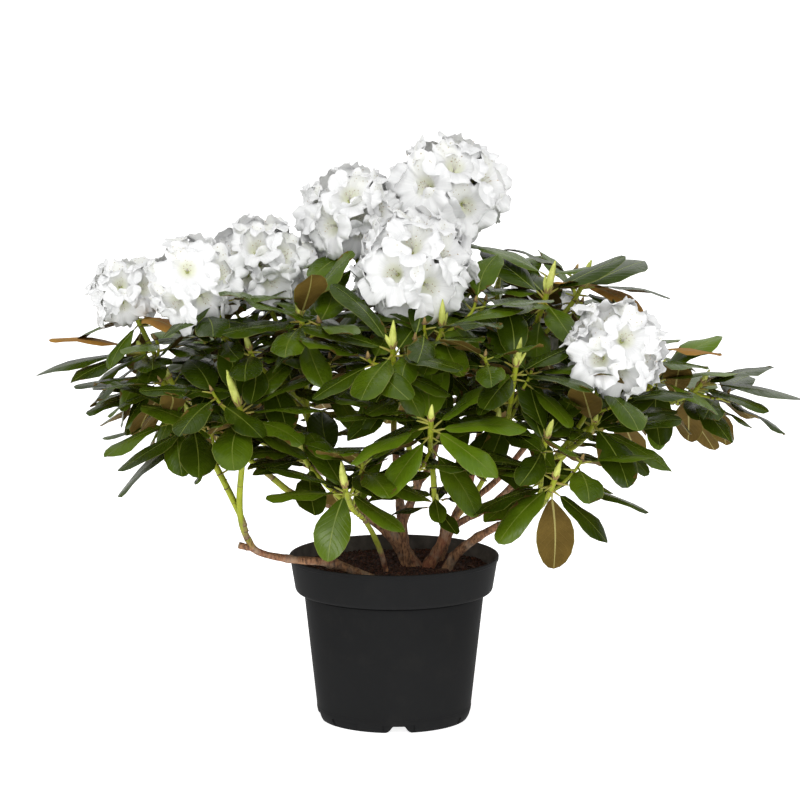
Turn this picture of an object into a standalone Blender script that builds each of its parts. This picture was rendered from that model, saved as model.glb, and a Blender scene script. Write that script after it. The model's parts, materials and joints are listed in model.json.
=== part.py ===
"""A white rhododendron in a five litre nursery pot.

Metres, +Z up, the front of the plant towards -Y. The origin is the centre of the pot's
flat underside. Several stems rise from the soil and fork into boughs. At the tip of each
bough stands a mass of foliage, which is a few shoots that end in whorls of leaves, and some
of those shoots carry a truss, which is a dome of funnel-shaped blossom.
"""

import math
import random

import bmesh
import bpy
from mathutils import Matrix, Vector
from mathutils.bvhtree import BVHTree

# Clear space between pieces that touch
GAP = 0.0003

# Nursery pot, 22.5 cm over the rim
POT_HEIGHT = 0.178
RIM_RADIUS = 0.1125
BAND_FOOT_RADIUS = 0.1057
BAND_DEPTH = 0.036
LEDGE_DROP = 0.039
BODY_TOP_RADIUS = 0.0965
BODY_FOOT_RADIUS = 0.0832
BODY_FOOT_HEIGHT = 0.017
BASE_RADIUS = 0.0768
POT_WALL = 0.0018
FLOOR_THICKNESS = 0.003
FLOOR_RAISE = 0.005
FOOT_RING_INNER = 0.062
CENTRE_DISC_RADIUS = 0.020
POT_SEGMENTS = 30
POT_EDGE = 0.0015
FOOT_BULGE_OUT, FOOT_BULGE_UP = 0.65, 0.40

# Notches in the foot ring and drain holes in the floor
NOTCHES = 8
NOTCH_FOOT_WIDTH = 0.028
NOTCH_TOP_WIDTH = 0.012
NOTCH_HEIGHT = 0.006
NOTCH_TURN = math.radians(3.7)
CUT_PAST, CUT_BELOW = 0.006, 0.002
DRAINS = 4
DRAIN_RADIUS = 0.004
DRAIN_CIRCLE = 0.045
DRAIN_SIDES = 6

# Soil, flat where the stems stand and sunk a little at the wall
SOIL_TOP = 0.165
SOIL_FLAT_RADIUS = 0.085
SOIL_WALL_DROP = 0.003

# Stems and boughs: what carries each, its way from root to tip, and its radius at both ends
STEM_FOOT = SOIL_TOP + GAP
LIMBS = {
    "trunk": ("soil", ((0.018, 0.004, STEM_FOOT), (0.006, 0.003, 0.188), (-0.012, -0.004, 0.209),
                       (-0.042, -0.012, 0.232)), (0.0080, 0.0050)),
    "bough_right": ("soil", ((0.036, -0.008, STEM_FOOT), (0.051, -0.012, 0.194),
                             (0.055, -0.015, 0.211)), (0.0062, 0.0048)),
    "bough_far_right": ("soil", ((0.056, -0.020, STEM_FOOT), (0.066, -0.024, 0.183),
                                 (0.087, -0.032, 0.202), (0.112, -0.050, 0.220)), (0.0052, 0.0038)),
    "bough_left_low": ("soil", ((-0.026, -0.060, STEM_FOOT), (-0.066, -0.067, 0.182),
                                (-0.110, -0.078, 0.189), (-0.143, -0.089, 0.199),
                                (-0.154, -0.093, 0.214)), (0.0046, 0.0036)),
    "bough_front_left": ("soil", ((-0.008, -0.034, STEM_FOOT), (-0.014, -0.042, 0.189),
                                  (-0.022, -0.060, 0.212), (-0.030, -0.090, 0.232)), (0.0030, 0.0025)),
    "bough_back": ("soil", ((0.012, 0.034, STEM_FOOT), (0.008, 0.055, 0.205), (0.004, 0.085, 0.245),
                            (0.000, 0.105, 0.290)), (0.0058, 0.0034)),
    "bough_back_right": ("soil", ((0.046, 0.022, STEM_FOOT), (0.062, 0.045, 0.200),
                                  (0.080, 0.075, 0.235), (0.092, 0.110, 0.285)), (0.0056, 0.0034)),
    "bough_left_inner": ("trunk", ((-0.0423, -0.0121, 0.2322), (-0.062, -0.022, 0.255),
                                   (-0.080, -0.034, 0.293)), (0.0044, 0.0034)),
    "bough_left": ("trunk", ((-0.036, -0.010, 0.229), (-0.070, -0.030, 0.238),
                             (-0.105, -0.046, 0.252), (-0.128, -0.058, 0.272)), (0.0040, 0.0032)),
    "bough_back_left": ("trunk", ((-0.016, -0.004, 0.212), (-0.035, 0.030, 0.235),
                                  (-0.060, 0.060, 0.260), (-0.085, 0.085, 0.295)), (0.0046, 0.0033)),
    "bough_back_far_left": ("bough_back_left", ((-0.045, 0.042, 0.247), (-0.085, 0.050, 0.262),
                                                (-0.130, 0.052, 0.285)), (0.0036, 0.0030)),
    "bough_centre": ("trunk", ((0.010, 0.004, 0.182), (0.009, 0.006, 0.208), (0.018, 0.008, 0.233),
                               (0.026, 0.010, 0.254)), (0.0054, 0.0042)),
    "bough_crown": ("bough_centre", ((0.0261, 0.0101, 0.2543), (0.036, 0.014, 0.268),
                                     (0.046, 0.016, 0.300), (0.048, 0.010, 0.345)), (0.0038, 0.0032)),
    "bough_mid": ("bough_centre", ((0.025, 0.010, 0.249), (0.021, -0.006, 0.272), (0.016, -0.030, 0.300),
                                   (0.018, -0.048, 0.332)), (0.0032, 0.0027)),
    "bough_front": ("bough_right", ((0.0549, -0.0151, 0.2113), (0.051, -0.026, 0.226),
                                    (0.045, -0.042, 0.245), (0.042, -0.072, 0.276)), (0.0030, 0.0026)),
    "bough_right_mid": ("bough_right", ((0.054, -0.014, 0.205), (0.074, -0.014, 0.218),
                                        (0.102, -0.018, 0.234), (0.130, -0.032, 0.264)), (0.0040, 0.0032)),
    "bough_front_right": ("bough_right", ((0.054, -0.015, 0.209), (0.066, -0.032, 0.224),
                                          (0.086, -0.050, 0.254), (0.104, -0.066, 0.290)),
                          (0.0028, 0.0025)),
    "bough_right_high": ("bough_right", ((0.052, -0.012, 0.199), (0.068, 0.004, 0.225),
                                         (0.090, 0.016, 0.280), (0.112, 0.006, 0.345)), (0.0042, 0.0030)),
    "bough_right_far": ("bough_right_mid", ((0.090, -0.016, 0.227), (0.125, 0.004, 0.244),
                                            (0.165, 0.008, 0.268), (0.195, 0.002, 0.300)),
                        (0.0034, 0.0028)),
    "bough_back_far_right": ("bough_back_right", ((0.070, 0.058, 0.216), (0.110, 0.070, 0.245),
                                                  (0.150, 0.082, 0.290)), (0.0036, 0.0030)),
}
LIMB_SIDES = 6
LIMB_STEPS = 2
FLARES = {"trunk": 0.0030, "bough_right": 0.0012, "bough_far_right": 0.0010, "bough_back": 0.0015,
          "bough_back_right": 0.0015}
FLARE_REACH = 0.010
# The pruned stub beside the fork of the low left bough
STUB = ("bough_left_low", (-0.146, -0.090, 0.202), (-0.163, -0.094, 0.207), 0.0034)
STUB_TAPER = 0.8

# Shoots by mass: the place of the shoot's tip, the length of its bud, the size of its leaves
# and the azimuth and pitch in degrees of the leaves that give it its look, some with a size of
# their own. Its other leaves follow the rule. Azimuth 0 is right, -90 is the front.
MASSES = {
    "left_low": ("bough_left_low", 0.08, (
        ("A", (-0.160, -0.160, 0.368), 0.041, 1.0, ((84, 58), (48, 36), (12, 26), (-8, 4), (-90, -22))),
        ("B", (-0.212, -0.125, 0.350), 0.016, 1.0,
         ((172, 26), (70, 28), (-82, -26), (-150, -24), (-168, -40, 1.12))),
        ("side", (-0.235, -0.088, 0.385), 0.014, 0.9, ((178, -2), (110, 20))))),
    "left_far": ("bough_left", 0.55, (
        ("C", (-0.267, -0.050, 0.410), 0.0, 1.0,
         ((176, 8), (-176, -9, 1.26), (-150, -16), (-84, 2), (28, 14))),
        ("low", (-0.240, 0.000, 0.360), 0.020, 1.0, ((180, 4, 1.1), (-165, -10), (160, 8))))),
    "left_inner": ("bough_left_inner", 0.45, (
        ("D", (-0.097, -0.130, 0.458), 0.022, 1.0, ((32, 38), (-84, 40), (-150, -4))),
        ("second", (-0.150, -0.120, 0.420), 0.018, 0.95, ((-20, -8), (-100, -12), (175, 5))))),
    "front_left": ("bough_front_left", 0.5, (
        ("I", (-0.050, -0.200, 0.290), 0.030, 0.95,
         ((-102, -46), (-38, -24), (168, 16), (-172, -2), (124, 38), (20, 14))),
        ("inner", (-0.095, -0.140, 0.315), 0.016, 0.9, ((-160, 0), (150, 20))))),
    "front": ("bough_front", 0.35, (
        ("H", (0.038, -0.215, 0.362), 0.018, 1.08,
         ((170, 14), (-172, 6), (-152, -16), (-44, -22), (26, 30), (0, 2), (92, 44))),
        ("low", (0.044, -0.108, 0.252), 0.014, 0.5, ((-170, -5), (-60, -30), (80, 10))))),
    "centre": ("bough_mid", 0.4, (
        ("E", (-0.001, -0.185, 0.432), 0.032, 1.0,
         ((140, 40), (174, 16), (-112, -18), (-42, -4), (62, 26))),
        ("F", (0.050, -0.145, 0.448), 0.030, 0.95, ((4, 14), (-76, -24), (150, 12))))),
    "front_right": ("bough_front_right", 0.6, (
        ("G", (0.126, -0.165, 0.410), 0.032, 0.95,
         ((150, 18), (100, 46), (-112, -22), (-12, -6), (35, 20))),
        ("low", (0.108, -0.130, 0.345), 0.016, 0.95, ((-60, -12), (-5, -4), (-150, -10))))),
    "right_front": ("bough_far_right", 0.6, (
        ("J", (0.166, -0.190, 0.297), 0.022, 1.0,
         ((172, 20), (-10, -16, 1.15), (-135, -34), (-165, -14), (100, -60))),
        ("upper", (0.158, -0.165, 0.335), 0.022, 0.95, ((106, 48), (58, 44), (-152, 4))))),
    "right": ("bough_right_mid", 0.5, (
        ("K", (0.209, -0.120, 0.344), 0.0, 1.0, ((-70, -32), (-92, 40), (-20, -26), (30, 24), (5, 6))),)),
    "right_high": ("bough_right_high", 0.4, (
        ("L", (0.161, -0.055, 0.470), 0.036, 1.0,
         ((16, 22, 1.08), (112, 18), (140, 28), (-58, -14), (-120, 6))),
        ("behind", (0.200, 0.010, 0.468), 0.030, 1.0, ((0, -4), (40, 14))),
        ("inner", (0.110, 0.020, 0.462), 0.016, 1.0, ((150, 10), (60, 20), (-140, -8))))),
    "right_far": ("bough_right_far", 0.45, (
        ("M", (0.280, -0.025, 0.378), 0.018, 1.0, ((30, 24), (-90, -36), (-45, -12), (8, 6))),
        ("far", (0.330, 0.020, 0.362), 0.016, 1.0, ((-8, -8, 1.2), (18, 10), (-32, -10))))),
    "back_left": ("bough_back_left", 0.4, (
        ("outer", (-0.120, 0.200, 0.365), 0.024, 1.0, ((110, 0), (70, 10))),
        ("side", (-0.185, 0.130, 0.385), 0.024, 1.0, ((150, 5),)),
        ("inner", (-0.070, 0.120, 0.405), 0.020, 1.0, ((90, 20),)))),
    "back_far_left": ("bough_back_far_left", 0.5, (
        ("outer", (-0.225, 0.080, 0.345), 0.022, 1.0, ((165, -5), (120, -5))),
        ("upper", (-0.180, 0.040, 0.400), 0.018, 1.0, ((170, 20),)))),
    "back": ("bough_back", 0.4, (
        ("outer", (0.010, 0.225, 0.350), 0.024, 1.0, ((90, -5), (60, 5))),
        ("low", (-0.030, 0.160, 0.330), 0.018, 1.0, ((130, -10),)),
        ("inner", (0.055, 0.140, 0.410), 0.020, 1.0, ((80, 20),)))),
    "back_right": ("bough_back_right", 0.4, (
        ("outer", (0.125, 0.200, 0.360), 0.024, 1.0, ((70, 0), (40, 5))),
        ("inner", (0.150, 0.110, 0.405), 0.020, 1.0, ((60, 15),)))),
    "back_far_right": ("bough_back_far_right", 0.5, (
        ("outer", (0.235, 0.130, 0.345), 0.022, 1.0, ((35, -5), (60, -5))),
        ("upper", (0.215, 0.075, 0.385), 0.018, 1.0, ((10, 10),)))),
    "crown": ("bough_crown", 0.35, (
        ("front", (0.062, -0.060, 0.440), 0.0, 0.95, ((-30, 0), (-80, -5))),)),
}

# Trusses: the mass that carries each, the middle of its dome, the dome's radius and florets
TRUSSES = {
    "truss_far_left": ("left_far", (-0.284, -0.050, 0.468), 0.036, 6),
    "truss_left": ("left_inner", (-0.208, -0.110, 0.487), 0.050, 8),
    "truss_left_inner": ("left_inner", (-0.142, -0.052, 0.497), 0.052, 9),
    "truss_centre_left": ("crown", (-0.046, -0.030, 0.546), 0.056, 9),
    "truss_top": ("crown", (0.058, 0.000, 0.568), 0.063, 11),
    "truss_front": ("crown", (0.020, -0.105, 0.503), 0.064, 11),
    "truss_right": ("right", (0.226, -0.130, 0.418), 0.055, 9),
    "truss_back_left": ("back_left", (-0.105, 0.130, 0.455), 0.048, 6),
    "truss_back": ("back", (0.010, 0.165, 0.455), 0.050, 7),
    "truss_back_right": ("back_right", (0.165, 0.165, 0.400), 0.046, 6),
}

# Shoots
TWIG_RADIUS = 0.0029
TWIG_ROOT_SHARE = 1.25
TWIG_SIDES = 3
TWIG_STEPS = 3
CROWN_AXIS = Vector((0.02, 0.0, 0.0))
CROWN_REACH = 0.25
SHOOT_LEAN = 0.45
SHOOT_WAVER = 0.06
# How hard a shoot is pulled along its root's heading and along its own axis, by its reach
LEAVING_PULL, ARRIVING_PULL = 0.8, 0.9
ASIDE_PULL = 0.12
BRANCH_SPREAD = 0.12
LOWEST_FORK, HIGHEST_FORK = 0.03, 0.9
TWIG_TAPER = 0.9
TWIG_GUARD = 0.0062
TWIG_TRIES = 14
# A bud's widest radius and that of its tip, the place of the widest, and the least stoutness
BUD_WIDTH = 0.0085
BUD_BELLY, BUD_BELLY_PLACE, BUD_TIP = 0.5, 0.35, 0.08
BUD_LEAST, BUD_GROWTH = 0.55, 0.09

# Leaves
GOLDEN_ANGLE = math.radians(137.508)
LEAF_LENGTH = 0.094
LEAF_HALF_WIDTH = 0.185
LEAF_THICKNESS = 0.014
PETIOLE_THICKNESS = 0.0016
WHORL_LEAVES = 6
TRUSS_LEAVES = 4
TRUSS_LEAF_SIZE = 0.92
WHORL_TOP = 0.003
WHORL_STEP = 0.0026
TOP_PITCH = math.radians(26)
LOW_PITCH = math.radians(-24)
LEAF_TRIES = 12
LEAF_SIZES = (0.93, 1.07)
LEAF_DROOPS = (0.18, 0.45)
LEAF_ROLLS = (-0.22, 0.22)
# How far a leaf is turned and how much it shrinks with each try to stand clear
LEAF_WAVER, LEAF_TURN, LEAF_SHRINK = 0.03, 0.035, 0.025
LEAF_FACING = 0.45
STEEPEST = 0.92
RULE_SHRINK = 0.12
ROOT_SUNK = 0.0006
OLD_LEAVES = 1
OLD_WHORL_DEPTH = 0.052
OLD_LEAST_REACH = 0.083
OLD_STEP = 0.006
OLD_PITCH = math.radians(-14.4)
OLD_SIZE = 0.92
GUARD_LIFT = 0.0016
GUARD_WIDENING = 20
PETIOLE_SHARE = 0.17
# Stations along a leaf: shoulder, crown of the midrib, broadest place; and the width at each
SHOULDER, MIDDLE, BROADEST = 0.36, 0.54, 0.70
SHOULDER_WIDTH = 0.80
EDGE_DROP = 0.10

# Florets
FLORET_SPREAD = 0.52
FLORET_DEPTH = 0.50
MOUTH_DEPTH = 0.30
LOBES = 5
FLORET_TRIES = 10
FLORET_GUARD = 0.001
FLORET_TURN, FLORET_SHRINK = 0.05, 0.03
# Shares of the dome's radius: where the mouths stand; and the spread's own variation
MOUTH_PLACES = (0.82, 0.90)
SPREADS = (0.95, 1.05)
ANGLE_WAVER = 0.12
DOME_ANGLE = math.radians(104)
THROAT_RADIUS = 0.0024
PEDUNCLE_RADIUS = 0.0024
PEDUNCLE_TAPER = 0.8
PEDUNCLE_SIDES = 4
RACHIS_DROP = 0.62
RACHIS_SHARE = 0.50


def clear_scene():
    for thing in list(bpy.data.objects):
        bpy.data.objects.remove(thing)


def material(name, colour, roughness, metallic=0.0):
    """A plain Principled material."""
    made = bpy.data.materials.new(name)
    made.use_nodes = True
    shader = made.node_tree.nodes["Principled BSDF"]
    shader.inputs["Base Color"].default_value = (*colour, 1.0)
    shader.inputs["Roughness"].default_value = roughness
    shader.inputs["Metallic"].default_value = metallic
    return made


def add_object(name, shape, finish, collection=None):
    """An object from a shape, which is a pair of vertices and faces."""
    mesh = bpy.data.meshes.new(name)
    mesh.from_pydata([tuple(v) for v in shape[0]], [], shape[1])
    mesh.update()
    made = bpy.data.objects.new(name, mesh)
    made.data.materials.append(finish)
    (collection or bpy.context.scene.collection).objects.link(made)
    return made


def evaluated_mesh(thing):
    """The object's mesh with its modifiers applied."""
    graph = bpy.context.evaluated_depsgraph_get()
    return bpy.data.meshes.new_from_object(thing.evaluated_get(graph), depsgraph=graph)


def island_volume(faces):
    """Signed volume inside a set of triangles."""
    return sum(f.verts[0].co.dot(f.verts[1].co.cross(f.verts[2].co)) for f in faces) / 6


def keep_largest_body(thing):
    """Drops loose scraps and fills sealed hollows, which are all but the largest shell."""
    shape = bmesh.new()
    shape.from_mesh(thing.data)
    bmesh.ops.triangulate(shape, faces=shape.faces[:])
    waiting = set(shape.faces)
    shells = []
    while waiting:
        front = [waiting.pop()]
        shell = set(front)
        while front:
            face = front.pop()
            for edge in face.edges:
                for other in edge.link_faces:
                    if other in waiting:
                        waiting.remove(other)
                        shell.add(other)
                        front.append(other)
        shells.append(shell)
    shells.sort(key=lambda shell: island_volume(shell), reverse=True)
    unwanted = [face for shell in shells[1:] for face in shell]
    bmesh.ops.delete(shape, geom=unwanted, context="FACES")
    shape.to_mesh(thing.data)
    shape.free()


def apply_boolean(thing, operation, collection, solver="EXACT"):
    """Joins or cuts with every object of a collection, then removes those objects."""
    modifier = thing.modifiers.new("Boolean", "BOOLEAN")
    modifier.operation = operation
    modifier.operand_type = "COLLECTION"
    modifier.collection = collection
    modifier.solver = solver
    mesh = evaluated_mesh(thing)
    thing.modifiers.clear()
    thing.data = mesh
    for tool in list(collection.objects):
        bpy.data.objects.remove(tool)
    bpy.data.collections.remove(collection)
    keep_largest_body(thing)


def tool_collection(name):
    made = bpy.data.collections.new(name)
    bpy.context.scene.collection.children.link(made)
    return made


def turned(name, profile, segments, finish):
    """A closed profile of radius and height pairs, spun round the Z axis."""
    shape = bmesh.new()
    ring = [shape.verts.new((radius, 0.0, height)) for radius, height in profile]
    edges = [shape.edges.new(pair) for pair in zip(ring, ring[1:])]
    bmesh.ops.spin(shape, geom=ring + edges, cent=(0, 0, 0), axis=(0, 0, 1),
                   angle=math.tau, steps=segments, use_merge=True)
    bmesh.ops.remove_doubles(shape, verts=shape.verts[:], dist=1e-6)
    bmesh.ops.recalc_face_normals(shape, faces=shape.faces[:])
    mesh = bpy.data.meshes.new(name)
    shape.to_mesh(mesh)
    shape.free()
    mesh.materials.append(finish)
    mesh.shade_smooth()
    mesh.set_sharp_from_angle(angle=math.radians(35))
    made = bpy.data.objects.new(name, mesh)
    bpy.context.scene.collection.objects.link(made)
    return made


def inner_radius(height):
    """Inside radius of the pot's band, where the soil meets it."""
    band_foot = POT_HEIGHT - BAND_DEPTH
    share = (height - band_foot) / BAND_DEPTH
    return BAND_FOOT_RADIUS + share * (RIM_RADIUS - BAND_FOOT_RADIUS) - POT_WALL


def make_pot(finish):
    ledge = POT_HEIGHT - LEDGE_DROP
    band_foot = POT_HEIGHT - BAND_DEPTH
    floor = FLOOR_RAISE + FLOOR_THICKNESS
    profile = [
        (0.0, 0.0),
        (CENTRE_DISC_RADIUS, 0.0),
        (CENTRE_DISC_RADIUS + POT_EDGE, FLOOR_RAISE),
        (FOOT_RING_INNER - POT_EDGE, FLOOR_RAISE),
        (FOOT_RING_INNER, 0.0),
        (BASE_RADIUS - POT_EDGE, 0.0),
        (BASE_RADIUS, POT_EDGE),
        (BASE_RADIUS + FOOT_BULGE_OUT * (BODY_FOOT_RADIUS - BASE_RADIUS), FOOT_BULGE_UP * BODY_FOOT_HEIGHT),
        (BODY_FOOT_RADIUS, BODY_FOOT_HEIGHT),
        (BODY_TOP_RADIUS, ledge),
        (BAND_FOOT_RADIUS - POT_EDGE, ledge + 0.4 * POT_EDGE),
        (BAND_FOOT_RADIUS, band_foot),
        (RIM_RADIUS, POT_HEIGHT),
        (RIM_RADIUS - POT_WALL, POT_HEIGHT),
        (inner_radius(band_foot), band_foot + POT_WALL),
        (BODY_TOP_RADIUS - POT_WALL, ledge + POT_WALL),
        (BODY_FOOT_RADIUS - POT_WALL, BODY_FOOT_HEIGHT),
        (BASE_RADIUS - POT_WALL, floor),
        (0.0, floor),
    ]
    pot = turned("pot", profile, POT_SEGMENTS, finish)
    tools = tool_collection("pot tools")
    for index in range(NOTCHES):
        turn = NOTCH_TURN - math.pi / 2 + index * math.tau / NOTCHES
        cut_notch(tools, turn, finish)
    for index in range(DRAINS):
        cut_drain(tools, NOTCH_TURN + math.pi / NOTCHES + index * math.tau / DRAINS, finish)
    apply_boolean(pot, "DIFFERENCE", tools)
    return pot


def cut_notch(tools, turn, finish):
    """A trapezoid bar across the foot ring, wide at the ground."""
    start, end, below = FOOT_RING_INNER - CUT_PAST, BODY_FOOT_RADIUS + CUT_PAST, CUT_BELOW
    slope = (NOTCH_FOOT_WIDTH - NOTCH_TOP_WIDTH) / 2 / NOTCH_HEIGHT
    foot = NOTCH_FOOT_WIDTH / 2 + slope * below
    outline = ((-foot, -below), (foot, -below), (NOTCH_TOP_WIDTH / 2, NOTCH_HEIGHT),
               (-NOTCH_TOP_WIDTH / 2, NOTCH_HEIGHT))
    rotation = Matrix.Rotation(turn, 3, "Z")
    corners = [rotation @ Vector((out, side, up)) for out in (start, end) for side, up in outline]
    faces = [(3, 2, 1, 0), (4, 5, 6, 7)]
    faces += [(i, (i + 1) % 4, (i + 1) % 4 + 4, i + 4) for i in range(4)]
    add_object("notch tool", (corners, faces), finish, tools)


def cut_drain(tools, turn, finish):
    """A short round bar through the pot's floor."""
    middle = Vector((DRAIN_CIRCLE * math.cos(turn), DRAIN_CIRCLE * math.sin(turn), 0.0))
    reach = Vector((0, 0, 2 * (FLOOR_RAISE + FLOOR_THICKNESS)))
    shape = tube([middle, middle + reach], [DRAIN_RADIUS, DRAIN_RADIUS], DRAIN_SIDES)
    add_object("drain tool", shape, finish, tools)


def make_soil(finish):
    floor = FLOOR_RAISE + FLOOR_THICKNESS + GAP
    ledge = POT_HEIGHT - LEDGE_DROP
    band_foot = POT_HEIGHT - BAND_DEPTH
    wall_top = SOIL_TOP - SOIL_WALL_DROP
    profile = [
        (0.0, floor),
        (BASE_RADIUS - POT_WALL - 3 * GAP, floor),
        (BODY_FOOT_RADIUS - POT_WALL - 2 * GAP, BODY_FOOT_HEIGHT + GAP),
        (BODY_TOP_RADIUS - POT_WALL - 2 * GAP, ledge + POT_WALL + GAP),
        (inner_radius(band_foot) - 2 * GAP, band_foot + POT_WALL + 2 * GAP),
        (inner_radius(wall_top) - 2 * GAP, wall_top),
        (SOIL_FLAT_RADIUS, SOIL_TOP),
        (0.0, SOIL_TOP),
    ]
    return turned("soil", profile, POT_SEGMENTS, finish)


def smooth_way(points, steps):
    """A Catmull-Rom curve through the points, with this many steps between two of them."""
    points = [Vector(p) for p in points]
    ends = [2 * points[0] - points[1]] + points + [2 * points[-1] - points[-2]]
    way = []
    for a, b, c, d in zip(ends, ends[1:], ends[2:], ends[3:]):
        for step in range(steps):
            t = step / steps
            way.append(0.5 * (2 * b + (c - a) * t + (2 * a - 5 * b + 4 * c - d) * t ** 2
                              + (3 * b - a - 3 * c + d) * t ** 3))
    return way + [points[-1]]


def bend(start, start_pull, end, end_pull, steps):
    """A cubic curve between two places, leaving and arriving along the two pulls."""
    way = []
    for step in range(steps + 1):
        t = step / steps
        way.append((2 * t ** 3 - 3 * t ** 2 + 1) * start + (t ** 3 - 2 * t ** 2 + t) * start_pull
                   + (3 * t ** 2 - 2 * t ** 3) * end + (t ** 3 - t ** 2) * end_pull)
    return way


def tangents(way):
    ahead = [b - a for a, b in zip(way, way[1:])]
    middle = [(a.normalized() + b.normalized()).normalized() for a, b in zip(ahead, ahead[1:])]
    return [ahead[0].normalized()] + middle + [ahead[-1].normalized()]


def tube(way, radii, sides, level_foot=False, square_to=None):
    """A round bar along a way, with flat ends; a level foot is cut along the ground.

    Its two ends stand square to the two headings in square_to where these are given.
    """
    vertices = []
    across = None
    headings = tangents(way)
    if square_to:
        headings[0], headings[-1] = square_to
    for index, (place, along, radius) in enumerate(zip(way, headings, radii)):
        if across is None:
            across = along.orthogonal().normalized()
        across = (across - across.dot(along) * along).normalized()
        other = along.cross(across)
        for side in range(sides):
            angle = math.tau * side / sides
            corner = place + radius * (math.cos(angle) * across + math.sin(angle) * other)
            if level_foot and index == 0:
                corner -= along * ((corner.z - place.z) / along.z)
            vertices.append(corner)
    faces = [tuple(range(sides - 1, -1, -1))]
    for ring in range(len(way) - 1):
        for side in range(sides):
            a, b = ring * sides + side, ring * sides + (side + 1) % sides
            faces.append((a, b, b + sides))
            faces.append((a, b + sides, a + sides))
    faces.append(tuple(range((len(way) - 1) * sides, len(way) * sides)))
    return vertices, faces


def limb_shape(name, extra=0.0):
    """A bough's tapering bar, with a flare where it leaves the soil."""
    carrier, points, (root, tip) = LIMBS[name]
    way = smooth_way(points, LIMB_STEPS)
    walked = 0.0
    radii = []
    for index, place in enumerate(way):
        walked += (place - way[index - 1]).length if index else 0.0
        share = index / (len(way) - 1)
        flare = FLARES.get(name, 0.0) * math.exp(-walked / FLARE_REACH)
        radii.append(root + (tip - root) * share + flare + extra)
    return way, tube(way, radii, LIMB_SIDES, level_foot=carrier == "soil")


def tree_of(shape):
    return BVHTree.FromPolygons(shape[0], shape[1])


def box_of(vertices):
    return ([min(v[i] for v in vertices) for i in range(3)], [max(v[i] for v in vertices) for i in range(3)])


class Space:
    """What already stands in the crown, to keep a new piece clear of it."""

    def __init__(self):
        self.pieces = []

    def add(self, owner, group, shape):
        self.pieces.append((owner, group, box_of(shape[0]), tree_of(shape)))

    def clear(self, shape, skip_owners=(), skip_groups=()):
        low, high = box_of(shape[0])
        tree = tree_of(shape)
        for owner, group, (other_low, other_high), other in self.pieces:
            if owner in skip_owners or group in skip_groups:
                continue
            if any(low[i] > other_high[i] or high[i] < other_low[i] for i in range(3)):
                continue
            if tree.overlap(other):
                return False
        return True


def make_limbs(finish, space):
    """Every stem and bough; one that leaves another is cut a gap clear of it."""
    ways = {}
    for name in LIMBS:
        way, shape = limb_shape(name)
        limb = add_object(name, shape, finish)
        tree = tree_of(limb_shape(name, GAP)[1])
        crossed = [other for other in ways if tree.overlap(tree_of(limb_shape(other, GAP)[1]))]
        if crossed:
            tools = tool_collection(name + " tools")
            for other in crossed:
                add_object("limb tool", longer_at_tip(other), finish, tools)
            apply_boolean(limb, "DIFFERENCE", tools)
        if name == STUB[0]:
            tools = tool_collection("stub")
            root, tip = Vector(STUB[1]), Vector(STUB[2])
            bar = tube([root, tip], [STUB[3], STUB_TAPER * STUB[3]], LIMB_SIDES)
            add_object("stub bar", bar, finish, tools)
            apply_boolean(limb, "UNION", tools)
        smooth(limb)
        ways[name] = way
        space.add(name, name, limb_shape(name, 2 * GAP)[1])
    return ways


def longer_at_tip(name):
    """The bar of a bough, a gap fatter and a gap longer, to cut its neighbours with."""
    way, (vertices, faces) = limb_shape(name, GAP)
    along = (way[-1] - way[-2]).normalized()
    for corner in vertices[-LIMB_SIDES:]:
        corner += along * GAP
    return vertices, faces


def smooth(thing):
    thing.data.shade_smooth()
    thing.data.set_sharp_from_angle(angle=math.radians(40))


def shoot_axis(tip, rng):
    """Upright, leaning out from the middle of the crown."""
    out = Vector((tip.x - CROWN_AXIS.x, tip.y - CROWN_AXIS.y, 0.0))
    axis = Vector((0, 0, 1)) + SHOOT_LEAN * out / CROWN_REACH
    axis += Vector((rng.uniform(-1, 1), rng.uniform(-1, 1), 0.0)) * SHOOT_WAVER
    return axis.normalized()


def grow_twig(start, heading, tip, axis, radii, bud, space, mass):
    """A curved twig from its root to its tip, bent aside where something stands in its way."""
    reach = (tip - start).length
    rng = random.Random(f"twig {mass} {tip.x:.3f} {tip.z:.3f}")
    for attempt in range(TWIG_TRIES):
        aside = Vector([rng.uniform(-1, 1) for _ in range(3)]) * reach * ASIDE_PULL * attempt
        leaving, arriving = heading * reach * LEAVING_PULL + aside, axis * reach * ARRIVING_PULL - aside
        way = bend(start, leaving, tip, arriving, TWIG_STEPS)
        thickness = [radii[0] + (radii[1] - radii[0]) * step / TWIG_STEPS for step in range(TWIG_STEPS + 1)]
        bud_places, bud_radii = bud_rings(tip, axis, bud) if bud else ([], [])
        shape = tube(way + bud_places, thickness + bud_radii, TWIG_SIDES, square_to=(heading, axis))
        guard = tube(way[1:] + bud_places[-1:], [TWIG_GUARD] * (TWIG_STEPS + bool(bud)), TWIG_SIDES)
        if space.clear(guard, skip_groups=(mass,)) and space.clear(shape, (MASSES[mass][0],), (mass,)):
            return way, shape
    return None, None


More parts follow.
